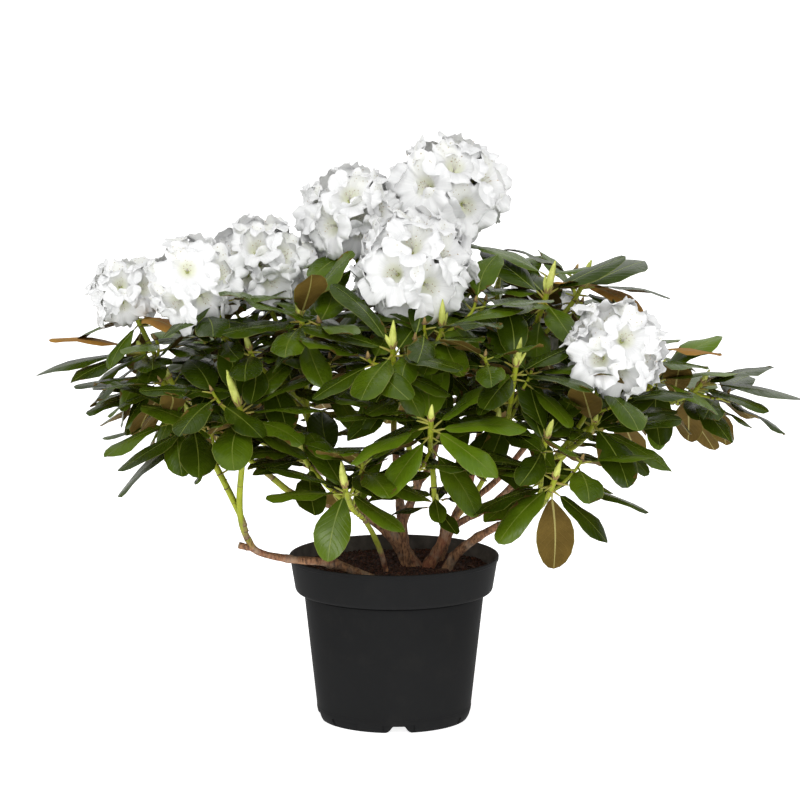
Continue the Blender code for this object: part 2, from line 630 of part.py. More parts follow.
def leaf_shape(root, along, up, length, droop, roll, sunk, grow=0.0, from_share=0.0):
    """A leaf with a raised midrib, broadest past its middle, arching down to its tip."""
    side = along.cross(up).normalized()
    normal = side.cross(along)
    turn = Matrix.Rotation(roll, 3, along)
    side, normal = turn @ side, turn @ normal

    def place(share, across, lift):
        angle = droop * share
        forward = length * math.sin(angle) / droop
        down = length * (1 - math.cos(angle)) / droop
        lifted = math.cos(angle) * normal + math.sin(angle) * along
        return root + forward * along - down * normal + across * side + lift * lifted

    width = LEAF_HALF_WIDTH * length * (1 + GUARD_WIDENING * grow)
    thick = LEAF_THICKNESS * length + grow
    half_root = PETIOLE_THICKNESS / 2 + grow
    base = root - sunk * along if from_share == 0 else place(from_share, 0, 0)
    base_lift = normal * half_root
    points = [base + base_lift, base - base_lift]
    for share, part in ((SHOULDER, SHOULDER_WIDTH), (BROADEST, 1.0)):
        across = part * width
        points.append(place(share, -across, -EDGE_DROP * across))
        points.append(place(share, across, -EDGE_DROP * across))
    points.append(place(1.0, 0.0, 0.0))
    points.append(place(MIDDLE, 0.0, thick))
    top, foot, left, right, left_far, right_far, tip, ridge = range(8)
    rim = (top, right, right_far, tip, left_far, left)
    faces = [(a, b, ridge) for a, b in zip(rim, rim[1:] + rim[:1])]
    faces += [(top, left, foot), (right, top, foot), (foot, left, right)]
    faces += [(right, left, left_far), (right, left_far, right_far), (right_far, left_far, tip)]
    return points, faces


def place_leaf(key, root, base_along, axis, space, mass, shoot, length):
    """Turns a leaf a little at a time until it stands clear, or leaves it out."""
    rng = random.Random(key)
    length *= rng.uniform(*LEAF_SIZES)
    for attempt in range(LEAF_TRIES):
        spread = LEAF_WAVER + LEAF_TURN * attempt
        along = base_along + Vector([rng.uniform(-1, 1) for _ in range(3)]) * spread
        along.normalize()
        up = (Vector((0, 0, 1)) + LEAF_FACING * axis).normalized()
        if abs(along.dot(up)) > STEEPEST:
            up = (axis - 0.8 * Vector((along.x, along.y, 0))).normalized()
        droop = rng.uniform(*LEAF_DROOPS)
        roll = rng.uniform(*LEAF_ROLLS)
        size = length * (1 - LEAF_SHRINK * attempt)
        form = (root, along, up, size, droop, roll, ROOT_SUNK)
        whole_guard = leaf_shape(*form, grow=GUARD_LIFT)
        blade_guard = leaf_shape(*form, grow=GUARD_LIFT, from_share=PETIOLE_SHARE)
        if not space.clear(whole_guard, skip_groups=(mass,)):
            continue
        if not space.clear(blade_guard, skip_owners=(shoot + " stem",)):
            continue
        return leaf_shape(*form), leaf_shape(*form, from_share=PETIOLE_SHARE)
    return None, None


def direction(azimuth, pitch):
    azimuth, pitch = math.radians(azimuth), math.radians(pitch)
    return Vector((math.cos(pitch) * math.cos(azimuth), math.cos(pitch) * math.sin(azimuth), math.sin(pitch)))


def whorl_direction(axis, angle, pitch):
    """A direction round the shoot's axis, the angle counted from the right."""
    right = (Vector((1, 0, 0)) - axis.x * axis).normalized()
    back = axis.cross(right)
    return math.cos(pitch) * (math.cos(angle) * right + math.sin(angle) * back) + math.sin(pitch) * axis


def bud_rings(tip, axis, length):
    """The places and radii of a pointed bud that goes on from the shoot's tip."""
    width = BUD_WIDTH * min(1.0, BUD_LEAST + length / BUD_GROWTH)
    places = [tip + share * length * axis for share in (BUD_BELLY_PLACE, 1.0)]
    return places, [BUD_BELLY * width, BUD_TIP * width]


def point_on(way, share):
    """The place and heading a share of the way along."""
    at = share * (len(way) - 1)
    index = min(int(at), len(way) - 2)
    return way[index].lerp(way[index + 1], at - index), (way[index + 1] - way[index]).normalized()


def grow_mass_twigs(mass, ways, space):
    """The shoots of a mass: the first is its stem, and the others branch from that."""
    bough, fork, shoots = MASSES[mass]
    bough_way = ways[bough]
    heading = (bough_way[-1] - bough_way[-2]).normalized()
    start = bough_way[-1] + GAP * heading
    radius = min(TWIG_RADIUS * TWIG_ROOT_SHARE, LIMBS[bough][2][1])
    rng = random.Random("mass " + mass)
    grown = {}
    wanted = [(name, Vector(tip), bud, leaf_size, shown, None) for name, tip, bud, leaf_size, shown in shoots]
    for truss, (carrier, middle, size, _) in TRUSSES.items():
        if carrier == mass:
            axis = shoot_axis(Vector(middle), random.Random("axis " + truss))
            wanted.append((truss, Vector(middle) - RACHIS_DROP * size * axis, 0.0, TRUSS_LEAF_SIZE, (), truss))
    stem = None
    for name, tip, bud, leaf_size, shown, truss in wanted:
        axis = shoot_axis(tip, random.Random("axis " + (truss or mass + name)))
        if stem is None:
            way, shape = grow_twig(start, heading, tip, axis, (radius, TWIG_RADIUS), bud, space, mass)
            stem = way
        else:
            share = fork + rng.uniform(-BRANCH_SPREAD, BRANCH_SPREAD) * min(1, 4 * fork)
            share = min(HIGHEST_FORK, max(LOWEST_FORK, share))
            root, stem_heading = point_on(stem, share)
            leaving = (stem_heading + (tip - root).normalized()).normalized()
            radii = (TWIG_RADIUS, TWIG_TAPER * TWIG_RADIUS)
            way, shape = grow_twig(root, leaving, tip, axis, radii, bud, space, mass)
        if way is None:
            print("no way for", mass, name)
            continue
        grown[name] = {"way": way, "shape": shape, "axis": axis, "tip": tip, "shown": shown,
                       "leaf size": leaf_size, "truss": truss, "leaves": []}
        space.add(mass + name + " stem", mass, shape)
    return grown


def grow_truss(name, space, shoot):
    """A peduncle with florets all round its top, each on its own pedicel."""
    mass, middle, size, count = TRUSSES[name]
    axis, middle = shoot["axis"], Vector(middle)
    rachis = shoot["tip"] + GAP * axis
    top = rachis + RACHIS_SHARE * size * axis
    shapes = [tube([rachis, top], [PEDUNCLE_RADIUS, PEDUNCLE_TAPER * PEDUNCLE_RADIUS], PEDUNCLE_SIDES)]
    for index in range(count):
        rng = random.Random(f"{name} {index}")
        level = 1 - (1 - math.cos(DOME_ANGLE)) * (index + 0.35) / count
        angle = index * GOLDEN_ANGLE + rng.uniform(-ANGLE_WAVER, ANGLE_WAVER)
        facing = whorl_direction(axis, angle, math.asin(level))
        root = top.lerp(rachis, 0.12 + 0.7 * index / count)
        turn = rng.uniform(0, math.tau)
        for attempt in range(FLORET_TRIES):
            away = Vector([rng.uniform(-1, 1) for _ in range(3)]) * FLORET_TURN * attempt
            facing = (facing + away).normalized()
            spread = FLORET_SPREAD * size * rng.uniform(*SPREADS) * (1 - FLORET_SHRINK * attempt)
            mouth = middle + facing * (size * rng.uniform(*MOUTH_PLACES))
            depth = size * FLORET_DEPTH
            guard = floret_shape(mouth + FLORET_GUARD * facing, facing, spread + FLORET_GUARD, depth, turn, root)
            if space.clear(guard, skip_groups=(mass, name)):
                shapes.append(floret_shape(mouth, facing, spread, depth, turn, root))
                break
    for shape in shapes:
        space.add(name, name, shape)
    return shapes


def floret_shape(mouth, facing, spread, depth, turn, root):
    """A funnel with five lobes and a hollow mouth, whose foot runs on as the pedicel to its root."""
    right = facing.orthogonal().normalized()
    other = facing.cross(right)

    def ring(middle, radius, count):
        turns = [turn + math.tau * index / count for index in range(count)]
        return [middle + radius * (math.cos(t) * right + math.sin(t) * other) for t in turns]

    rim = ring(mouth, spread, LOBES)
    throat = ring(mouth - depth * facing, THROAT_RADIUS, 3)
    points = rim + throat + [root, mouth - MOUTH_DEPTH * depth * facing]
    count = len(rim)
    foot, hollow = count + 3, count + 4
    faces = [(hollow, index, (index + 1) % count) for index in range(count)]
    for index in range(count):
        after = (index + 1) % count
        near, far = count + index * 3 // count, count + (index + 1) * 3 // count % 3
        faces.append((near, after, index))
        if near != far:
            faces.append((after, near, far))
            faces.append((far, near, foot))
    return points, faces


def whorl_root(shoot, depth):
    """The place on the shoot's own twig this far below its tip."""
    way = shoot["way"]
    reach = sum((b - a).length for a, b in zip(way, way[1:]))
    for a, b in zip(way[::-1], way[-2::-1]):
        step = (b - a).length
        if depth <= step:
            return a.lerp(b, depth / step), (a - b).normalized()
        depth -= step
    return way[0], (way[1] - way[0]).normalized()


def grow_leaves(masses, space):
    """The leaves that give each shoot its look, then the rest of its whorl by the rule."""
    for mass, shoots in masses.items():
        for name, shoot in shoots.items():
            for index, (azimuth, pitch, *size) in enumerate(shoot["shown"]):
                root, _ = whorl_root(shoot, WHORL_TOP + WHORL_STEP * index)
                along = direction(azimuth, pitch)
                add_leaf(mass, name, shoot, f"shown {index}", root, along, space, size[0] if size else 1.0)
    for mass, shoots in masses.items():
        for name, shoot in shoots.items():
            wanted = TRUSS_LEAVES if shoot["truss"] else WHORL_LEAVES
            turn = random.Random("turn " + mass + name).uniform(0, math.tau)
            count = len(shoot["shown"])
            for index in range(wanted - count):
                share = (index + count) / wanted
                pitch = TOP_PITCH + (LOW_PITCH - TOP_PITCH) * share
                if shoot["truss"]:
                    pitch = LOW_PITCH * share
                along = whorl_direction(shoot["axis"], turn + index * GOLDEN_ANGLE, pitch)
                root, _ = whorl_root(shoot, WHORL_TOP + WHORL_STEP * (index + count))
                add_leaf(mass, name, shoot, f"rule {index}", root, along, space, 1.0 - RULE_SHRINK * share)
    for mass, shoots in masses.items():
        for name, shoot in shoots.items():
            reach = sum((b - a).length for a, b in zip(shoot["way"], shoot["way"][1:]))
            if reach < OLD_LEAST_REACH:
                continue
            turn = random.Random("old " + mass + name).uniform(0, math.tau)
            for index in range(OLD_LEAVES):
                root, heading = whorl_root(shoot, OLD_WHORL_DEPTH + OLD_STEP * index)
                along = whorl_direction(heading, turn + index * GOLDEN_ANGLE, OLD_PITCH)
                add_leaf(mass, name, shoot, f"old {index}", root, along, space, OLD_SIZE)


def add_leaf(mass, name, shoot, key, root, along, space, size):
    owner = mass + name
    length = LEAF_LENGTH * shoot["leaf size"] * size
    whole, blade = place_leaf(f"{owner} {key}", root, along.normalized(), shoot["axis"], space, mass, owner,
                              length)
    if whole is None:
        return
    shoot["leaves"].append(whole)
    space.add(owner + " leaf", mass, blade)


def fuse(name, shapes, finish):
    """One body from a stem and all that grows on it."""
    body = add_object(name, shapes[0], finish)
    tools = tool_collection(name + " pieces")
    for shape in shapes[1:]:
        add_object(name + " piece", shape, finish, tools)
    apply_boolean(body, "UNION", tools, solver="MANIFOLD")
    return body


def build():
    clear_scene()
    black = material("pot plastic", (0.018, 0.019, 0.020), 0.42)
    peat = material("peat soil", (0.045, 0.020, 0.013), 0.95)
    bark = material("bark", (0.20, 0.085, 0.050), 0.85)
    leaf = material("leaf green", (0.045, 0.11, 0.018), 0.38)
    petal = material("petal white", (0.86, 0.87, 0.85), 0.6)
    space = Space()
    pot = make_pot(black)
    make_soil(peat)
    space.add("pot", "pot", ([v.co.copy() for v in pot.data.vertices],
                             [tuple(p.vertices) for p in pot.data.polygons]))
    ways = make_limbs(bark, space)
    masses = {mass: grow_mass_twigs(mass, ways, space) for mass in MASSES}
    trusses = {}
    for mass, shoots in masses.items():
        for name, shoot in shoots.items():
            if shoot["truss"]:
                trusses[name] = grow_truss(name, space, shoot)
    grow_leaves(masses, space)
    for mass, shoots in masses.items():
        shapes = []
        for shoot in shoots.values():
            shapes.append(shoot["shape"])
            shapes += shoot["leaves"]
        fuse("foliage_" + mass, shapes, leaf)
    for name, shapes in trusses.items():
        fuse(name, shapes, petal)


build()
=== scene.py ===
# White rhododendron in a black nursery pot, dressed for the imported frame.
# Metres, +Z up, the front of the plant towards -Y.
import json
import math
import random

import bmesh
import bpy
from mathutils import Matrix, Vector, noise
from mathutils.bvhtree import BVHTree

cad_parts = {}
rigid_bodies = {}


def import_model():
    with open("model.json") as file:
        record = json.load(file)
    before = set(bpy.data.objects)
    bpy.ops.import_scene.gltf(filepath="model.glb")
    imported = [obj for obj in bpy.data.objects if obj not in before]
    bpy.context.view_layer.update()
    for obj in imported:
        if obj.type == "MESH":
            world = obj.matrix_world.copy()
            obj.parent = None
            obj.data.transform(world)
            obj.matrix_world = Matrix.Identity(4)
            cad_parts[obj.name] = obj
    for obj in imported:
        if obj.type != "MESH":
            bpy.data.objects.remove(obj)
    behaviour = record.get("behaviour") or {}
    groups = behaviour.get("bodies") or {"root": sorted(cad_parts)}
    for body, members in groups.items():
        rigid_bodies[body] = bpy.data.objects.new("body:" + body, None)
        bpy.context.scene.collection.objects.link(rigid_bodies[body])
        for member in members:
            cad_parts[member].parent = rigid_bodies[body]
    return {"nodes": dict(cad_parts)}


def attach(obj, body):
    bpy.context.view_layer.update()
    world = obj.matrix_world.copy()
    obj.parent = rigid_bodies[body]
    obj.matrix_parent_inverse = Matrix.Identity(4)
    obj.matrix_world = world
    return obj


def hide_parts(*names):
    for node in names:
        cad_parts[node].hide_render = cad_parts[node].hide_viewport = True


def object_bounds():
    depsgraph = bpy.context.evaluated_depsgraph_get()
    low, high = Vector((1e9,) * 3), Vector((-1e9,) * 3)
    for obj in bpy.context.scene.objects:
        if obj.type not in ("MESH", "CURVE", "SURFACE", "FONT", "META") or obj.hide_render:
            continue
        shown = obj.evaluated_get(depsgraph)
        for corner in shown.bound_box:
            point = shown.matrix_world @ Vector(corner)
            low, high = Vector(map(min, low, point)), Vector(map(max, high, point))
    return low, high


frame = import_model()
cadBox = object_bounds()
goldenAngle = math.radians(137.508)
gap = 0.0003


# How meshes and finishes are made

def newObject(name, data):
    made = bpy.data.objects.new(name, data)
    bpy.context.scene.collection.objects.link(made)
    return made


def tellSize(name, mesh):
    print(f"{name}: {sum(len(face.vertices) - 2 for face in mesh.polygons)} triangles")


class Pile:
    # gathers many small shapes and makes one mesh of them
    def __init__(self):
        self.points, self.faces, self.slots, self.uvs = [], [], [], []

    def add(self, points, faces, slot=0, uvs=None):
        first = len(self.points)
        self.points += [tuple(p) for p in points]
        self.faces += [tuple(first + i for i in face) for face in faces]
        self.slots += slot if isinstance(slot, list) else [slot] * len(faces)
        self.uvs += uvs if uvs else [(0.0, 0.0)] * len(points)

    def piece(self, name, finishes, sharpAngle=60):
        mesh = bpy.data.meshes.new(name)
        mesh.from_pydata(self.points, [], self.faces)
        for finish in finishes:
            mesh.materials.append(finish)
        mesh.polygons.foreach_set("material_index", self.slots)
        layer = mesh.uv_layers.new(name="surfaceMap")
        places = [0] * len(mesh.loops)
        mesh.loops.foreach_get("vertex_index", places)
        layer.data.foreach_set("uv", [value for place in places for value in self.uvs[place]])
        mesh.shade_smooth()
        mesh.set_sharp_from_angle(angle=math.radians(sharpAngle))
        tellSize(name, mesh)
        return newObject(name, mesh)


def dress(piece, nodes):
    # every finished piece rides on the one body and stands for its CAD nodes
    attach(piece, "root")
    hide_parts(*nodes)


def feed(tree, socket, value):
    # a socket takes a link from another one, or a fixed value
    value = getattr(value, "socket", value)
    if isinstance(value, bpy.types.NodeSocket):
        tree.links.new(value, socket)
    else:
        socket.default_value = value


def addNode(tree, kind, settings=None, sockets=None):
    made = tree.nodes.new(kind)
    for label, value in (settings or {}).items():
        setattr(made, label, value)
    for label, value in (sockets or {}).items():
        feed(tree, made.inputs[label], value)
    return made


class Wire:
    # a shader socket that takes part in sums
    def __init__(self, finish, socket):
        self.finish, self.socket = finish, socket

    def sum(self, operation, first, second):
        return self.finish.node("ShaderNodeMath", {"operation": operation}, {0: first, 1: second})

    def __add__(self, other):
        return self.sum("ADD", self, other)

    def __radd__(self, other):
        return self.sum("ADD", other, self)

    def __sub__(self, other):
        return self.sum("SUBTRACT", self, other)

    def __rsub__(self, other):
        return self.sum("SUBTRACT", other, self)

    def __mul__(self, other):
        return self.sum("MULTIPLY", self, other)

    def __rmul__(self, other):
        return self.sum("MULTIPLY", other, self)

    def __pow__(self, other):
        return self.sum("POWER", self, other)


class Finish:
    # one Principled material and the nodes that feed it
    def __init__(self, name, **fixed):
        self.material = bpy.data.materials.new(name)
        self.material.use_nodes = True
        self.tree = self.material.node_tree
        self.shader = self.tree.nodes["Principled BSDF"]
        for label, value in ({"Metallic": 0.0} | fixed).items():
            self.shader.inputs[label.replace("_", " ")].default_value = value

    def node(self, kind, settings=None, sockets=None, output=0):
        return Wire(self, addNode(self.tree, kind, settings, sockets).outputs[output])

    def spots(self, scale, detail=3.0, rough=0.55, where=None):
        where = where or self.node("ShaderNodeTexCoord", output="Object")
        return self.node("ShaderNodeTexNoise", {}, {"Vector": where, "Scale": scale, "Detail": detail,
                                                    "Roughness": rough})

    def surface(self):
        # the piece's own map, as a vector and as its two parts
        where = self.node("ShaderNodeUVMap", {"uv_map": "surfaceMap"})
        return where, *[self.node("ShaderNodeSeparateXYZ", {}, {0: where}, output=i) for i in (0, 1)]

    def stretched(self, share):
        # Object coordinates that draw a pattern out along Z
        return self.node("ShaderNodeMapping", {}, {
            "Vector": self.node("ShaderNodeTexCoord", output="Object"), "Scale": (1.0, 1.0, share)})

    def blend(self, share, first, second):
        # a mix of two colours; a colour is a wire or three numbers
        first, second = [c if isinstance(c, Wire) else (*c, 1.0) for c in (first, second)]
        return self.node("ShaderNodeMix", {"data_type": "RGBA"}, {0: share, 6: first, 7: second}, output=2)

    def grade(self, share, low, high):
        # stretches the middle of a noise, 0 below low and 1 above high
        return self.node("ShaderNodeMapRange", {"clamp": True}, {0: share, 1: low, 2: high})

    def wear(self, colour, roughness, height=None, depth=0.0005, strength=0.6):
        feed(self.tree, self.shader.inputs["Base Color"], colour)
        feed(self.tree, self.shader.inputs["Roughness"], roughness)
        if height is not None:
            bump = self.node("ShaderNodeBump", {}, {"Height": height, "Distance": depth,
                                                    "Strength": strength})
            feed(self.tree, self.shader.inputs["Normal"], bump)
        return self.material


def mottled(name, scale, dark, light, rough, strength=0.6):
    # one noise for the colour and the bump of a dry, dull surface
    made = Finish(name)
    shade = made.spots(scale)
    return made.wear(made.blend(shade, dark, light), rough, shade, 0.0003, strength)


# Shapes that all the pieces share

def smoothWay(points, steps):
    # Catmull-Rom through the points
    points = [Vector(p) for p in points]
    ends = [2 * points[0] - points[1]] + points + [2 * points[-1] - points[-2]]
    way = []
    for a, b, c, d in zip(ends, ends[1:], ends[2:], ends[3:]):
        for step in range(steps):
            t = step / steps
            way.append(0.5 * (2 * b + (c - a) * t + (2 * a - 5 * b + 4 * c - d) * t ** 2
                              + (3 * b - a - 3 * c + d) * t ** 3))
    return way + [points[-1]]


def bend(start, startPull, end, endPull, steps):
    # cubic curve that leaves and arrives along the two pulls
    way = []
    for step in range(steps + 1):
        t = step / steps
        way.append((2 * t ** 3 - 3 * t ** 2 + 1) * start + (t ** 3 - 2 * t ** 2 + t) * startPull
                   + (3 * t ** 2 - 2 * t ** 3) * end + (t ** 3 - t ** 2) * endPull)
    return way


def tangents(way):
    ahead = [b - a for a, b in zip(way, way[1:])]
    middle = [(a.normalized() + b.normalized()).normalized() for a, b in zip(ahead, ahead[1:])]
    return [ahead[0].normalized()] + middle + [ahead[-1].normalized()]


def walks(way):
    # the length walked to each point
    lengths = [0.0]
    for a, b in zip(way, way[1:]):
        lengths.append(lengths[-1] + (b - a).length)
    return lengths


def between(first, last, share):
    return first + (last - first) * share


def ray(right, other, angle):
    # points out between two directions that stand square
    return math.cos(angle) * right + math.sin(angle) * other


def grid(rows, count):
    # the quads of a grid whose rows close round
    return [(row * count + i, row * count + (i + 1) % count, (row + 1) * count + (i + 1) % count,
             (row + 1) * count + i) for row in range(rows - 1) for i in range(count)]


def tube(way, radii, sides, levelFoot=False, squareTo=None, relief=None):
    # round bar along a way; relief changes the radius at a place, an angle and a length walked
    points = []
    across = None
    headings = tangents(way)
    if squareTo:
        headings[0], headings[-1] = squareTo
    for index, (place, along, radius, walked) in enumerate(zip(way, headings, radii, walks(way))):
        if across is None:
            across = along.orthogonal().normalized()
        across = (across - across.dot(along) * along).normalized()
        other = along.cross(across)
        for side in range(sides):
            angle = math.tau * side / sides
            out = ray(across, other, angle)
            size = relief(place, out, angle, walked, radius) if relief else radius
            point = place + size * out
            if levelFoot and index == 0:
                point -= along * ((point.z - place.z) / along.z)
            points.append(point)
    faces = [tuple(range(sides - 1, -1, -1))]
    for a, b, c, d in grid(len(way), sides):
        # bars of three or four sides are made of triangles, as the solids' own are
        faces += [(a, b, c, d)] if sides > 4 else [(a, b, c), (a, c, d)]
    faces.append(tuple(range((len(way) - 1) * sides, len(way) * sides)))
    return points, faces


def gem(middle, along, length, width):
    # a small faceted bead for an anther
    side = along.orthogonal().normalized()
    other = along.cross(side)
    points = [middle - along * length / 2, middle + along * length / 2]
    points += [middle + width / 2 * d for d in (side, other, -side, -other)]
    faces = [(0, 3, 2), (0, 4, 3), (0, 5, 4), (0, 2, 5), (1, 2, 3), (1, 3, 4), (1, 4, 5), (1, 5, 2)]
    return points, faces


# The plan of the stems and boughs: what carries each, its way, its radius at both ends

soilTop = 0.165
stemFoot = soilTop + gap
limbs = {
    "trunk": ("soil", ((0.018, 0.004, stemFoot), (0.006, 0.003, 0.188), (-0.012, -0.004, 0.209),
                       (-0.042, -0.012, 0.232)), (0.0080, 0.0050)),
    "bough_right": ("soil", ((0.036, -0.008, stemFoot), (0.051, -0.012, 0.194),
                             (0.055, -0.015, 0.211)), (0.0062, 0.0048)),
    "bough_far_right": ("soil", ((0.056, -0.020, stemFoot), (0.066, -0.024, 0.183),
                                 (0.087, -0.032, 0.202), (0.112, -0.050, 0.220)), (0.0052, 0.0038)),
    "bough_left_low": ("soil", ((-0.026, -0.060, stemFoot), (-0.066, -0.067, 0.182),
                                (-0.110, -0.078, 0.189), (-0.143, -0.089, 0.199),
                                (-0.154, -0.093, 0.214)), (0.0046, 0.0036)),
    "bough_front_left": ("soil", ((-0.008, -0.034, stemFoot), (-0.014, -0.042, 0.189),
                                  (-0.022, -0.060, 0.212), (-0.030, -0.090, 0.232)), (0.0030, 0.0025)),
    "bough_back": ("soil", ((0.012, 0.034, stemFoot), (0.008, 0.055, 0.205), (0.004, 0.085, 0.245),
                            (0.000, 0.105, 0.290)), (0.0058, 0.0034)),
    "bough_back_right": ("soil", ((0.046, 0.022, stemFoot), (0.062, 0.045, 0.200),
                                  (0.080, 0.075, 0.235), (0.092, 0.110, 0.285)), (0.0056, 0.0034)),
    "bough_left_inner": ("trunk", ((-0.0423, -0.0121, 0.2322), (-0.062, -0.022, 0.255),
                                   (-0.080, -0.034, 0.293)), (0.0044, 0.0034)),
    "bough_left": ("trunk", ((-0.036, -0.010, 0.229), (-0.070, -0.030, 0.238),
                             (-0.105, -0.046, 0.252), (-0.128, -0.058, 0.272)), (0.0040, 0.0032)),
    "bough_back_left": ("trunk", ((-0.016, -0.004, 0.212), (-0.035, 0.030, 0.235),
                                  (-0.060, 0.060, 0.260), (-0.085, 0.085, 0.295)), (0.0046, 0.0033)),
    "bough_back_far_left": ("bough_back_left", ((-0.045, 0.042, 0.247), (-0.085, 0.050, 0.262),
                                                (-0.130, 0.052, 0.285)), (0.0036, 0.0030)),
    "bough_centre": ("trunk", ((0.010, 0.004, 0.182), (0.009, 0.006, 0.208), (0.018, 0.008, 0.233),
                               (0.026, 0.010, 0.254)), (0.0054, 0.0042)),
    "bough_crown": ("bough_centre", ((0.0261, 0.0101, 0.2543), (0.036, 0.014, 0.268),
                                     (0.046, 0.016, 0.300), (0.048, 0.010, 0.345)), (0.0038, 0.0032)),
    "bough_mid": ("bough_centre", ((0.025, 0.010, 0.249), (0.021, -0.006, 0.272), (0.016, -0.030, 0.300),
                                   (0.018, -0.048, 0.332)), (0.0032, 0.0027)),
    "bough_front": ("bough_right", ((0.0549, -0.0151, 0.2113), (0.051, -0.026, 0.226),
                                    (0.045, -0.042, 0.245), (0.042, -0.072, 0.276)), (0.0030, 0.0026)),
    "bough_right_mid": ("bough_right", ((0.054, -0.014, 0.205), (0.074, -0.014, 0.218),
                                        (0.102, -0.018, 0.234), (0.130, -0.032, 0.264)), (0.0040, 0.0032)),
    "bough_front_right": ("bough_right", ((0.054, -0.015, 0.209), (0.066, -0.032, 0.224),
                                          (0.086, -0.050, 0.254), (0.104, -0.066, 0.290)),
                          (0.0028, 0.0025)),
    "bough_right_high": ("bough_right", ((0.052, -0.012, 0.199), (0.068, 0.004, 0.225),
                                         (0.090, 0.016, 0.280), (0.112, 0.006, 0.345)), (0.0042, 0.0030)),
    "bough_right_far": ("bough_right_mid", ((0.090, -0.016, 0.227), (0.125, 0.004, 0.244),
                                            (0.165, 0.008, 0.268), (0.195, 0.002, 0.300)),
                        (0.0034, 0.0028)),
    "bough_back_far_right": ("bough_back_right", ((0.070, 0.058, 0.216), (0.110, 0.070, 0.245),
                                                  (0.150, 0.082, 0.290)), (0.0036, 0.0030)),
}
flares = {"trunk": 0.0030, "bough_right": 0.0012, "bough_far_right": 0.0010, "bough_back": 0.0015,
          "bough_back_right": 0.0015}
flareReach = 0.010
stub = {"root": (-0.146, -0.090, 0.202), "tip": (-0.163, -0.094, 0.207), "radius": 0.0034}

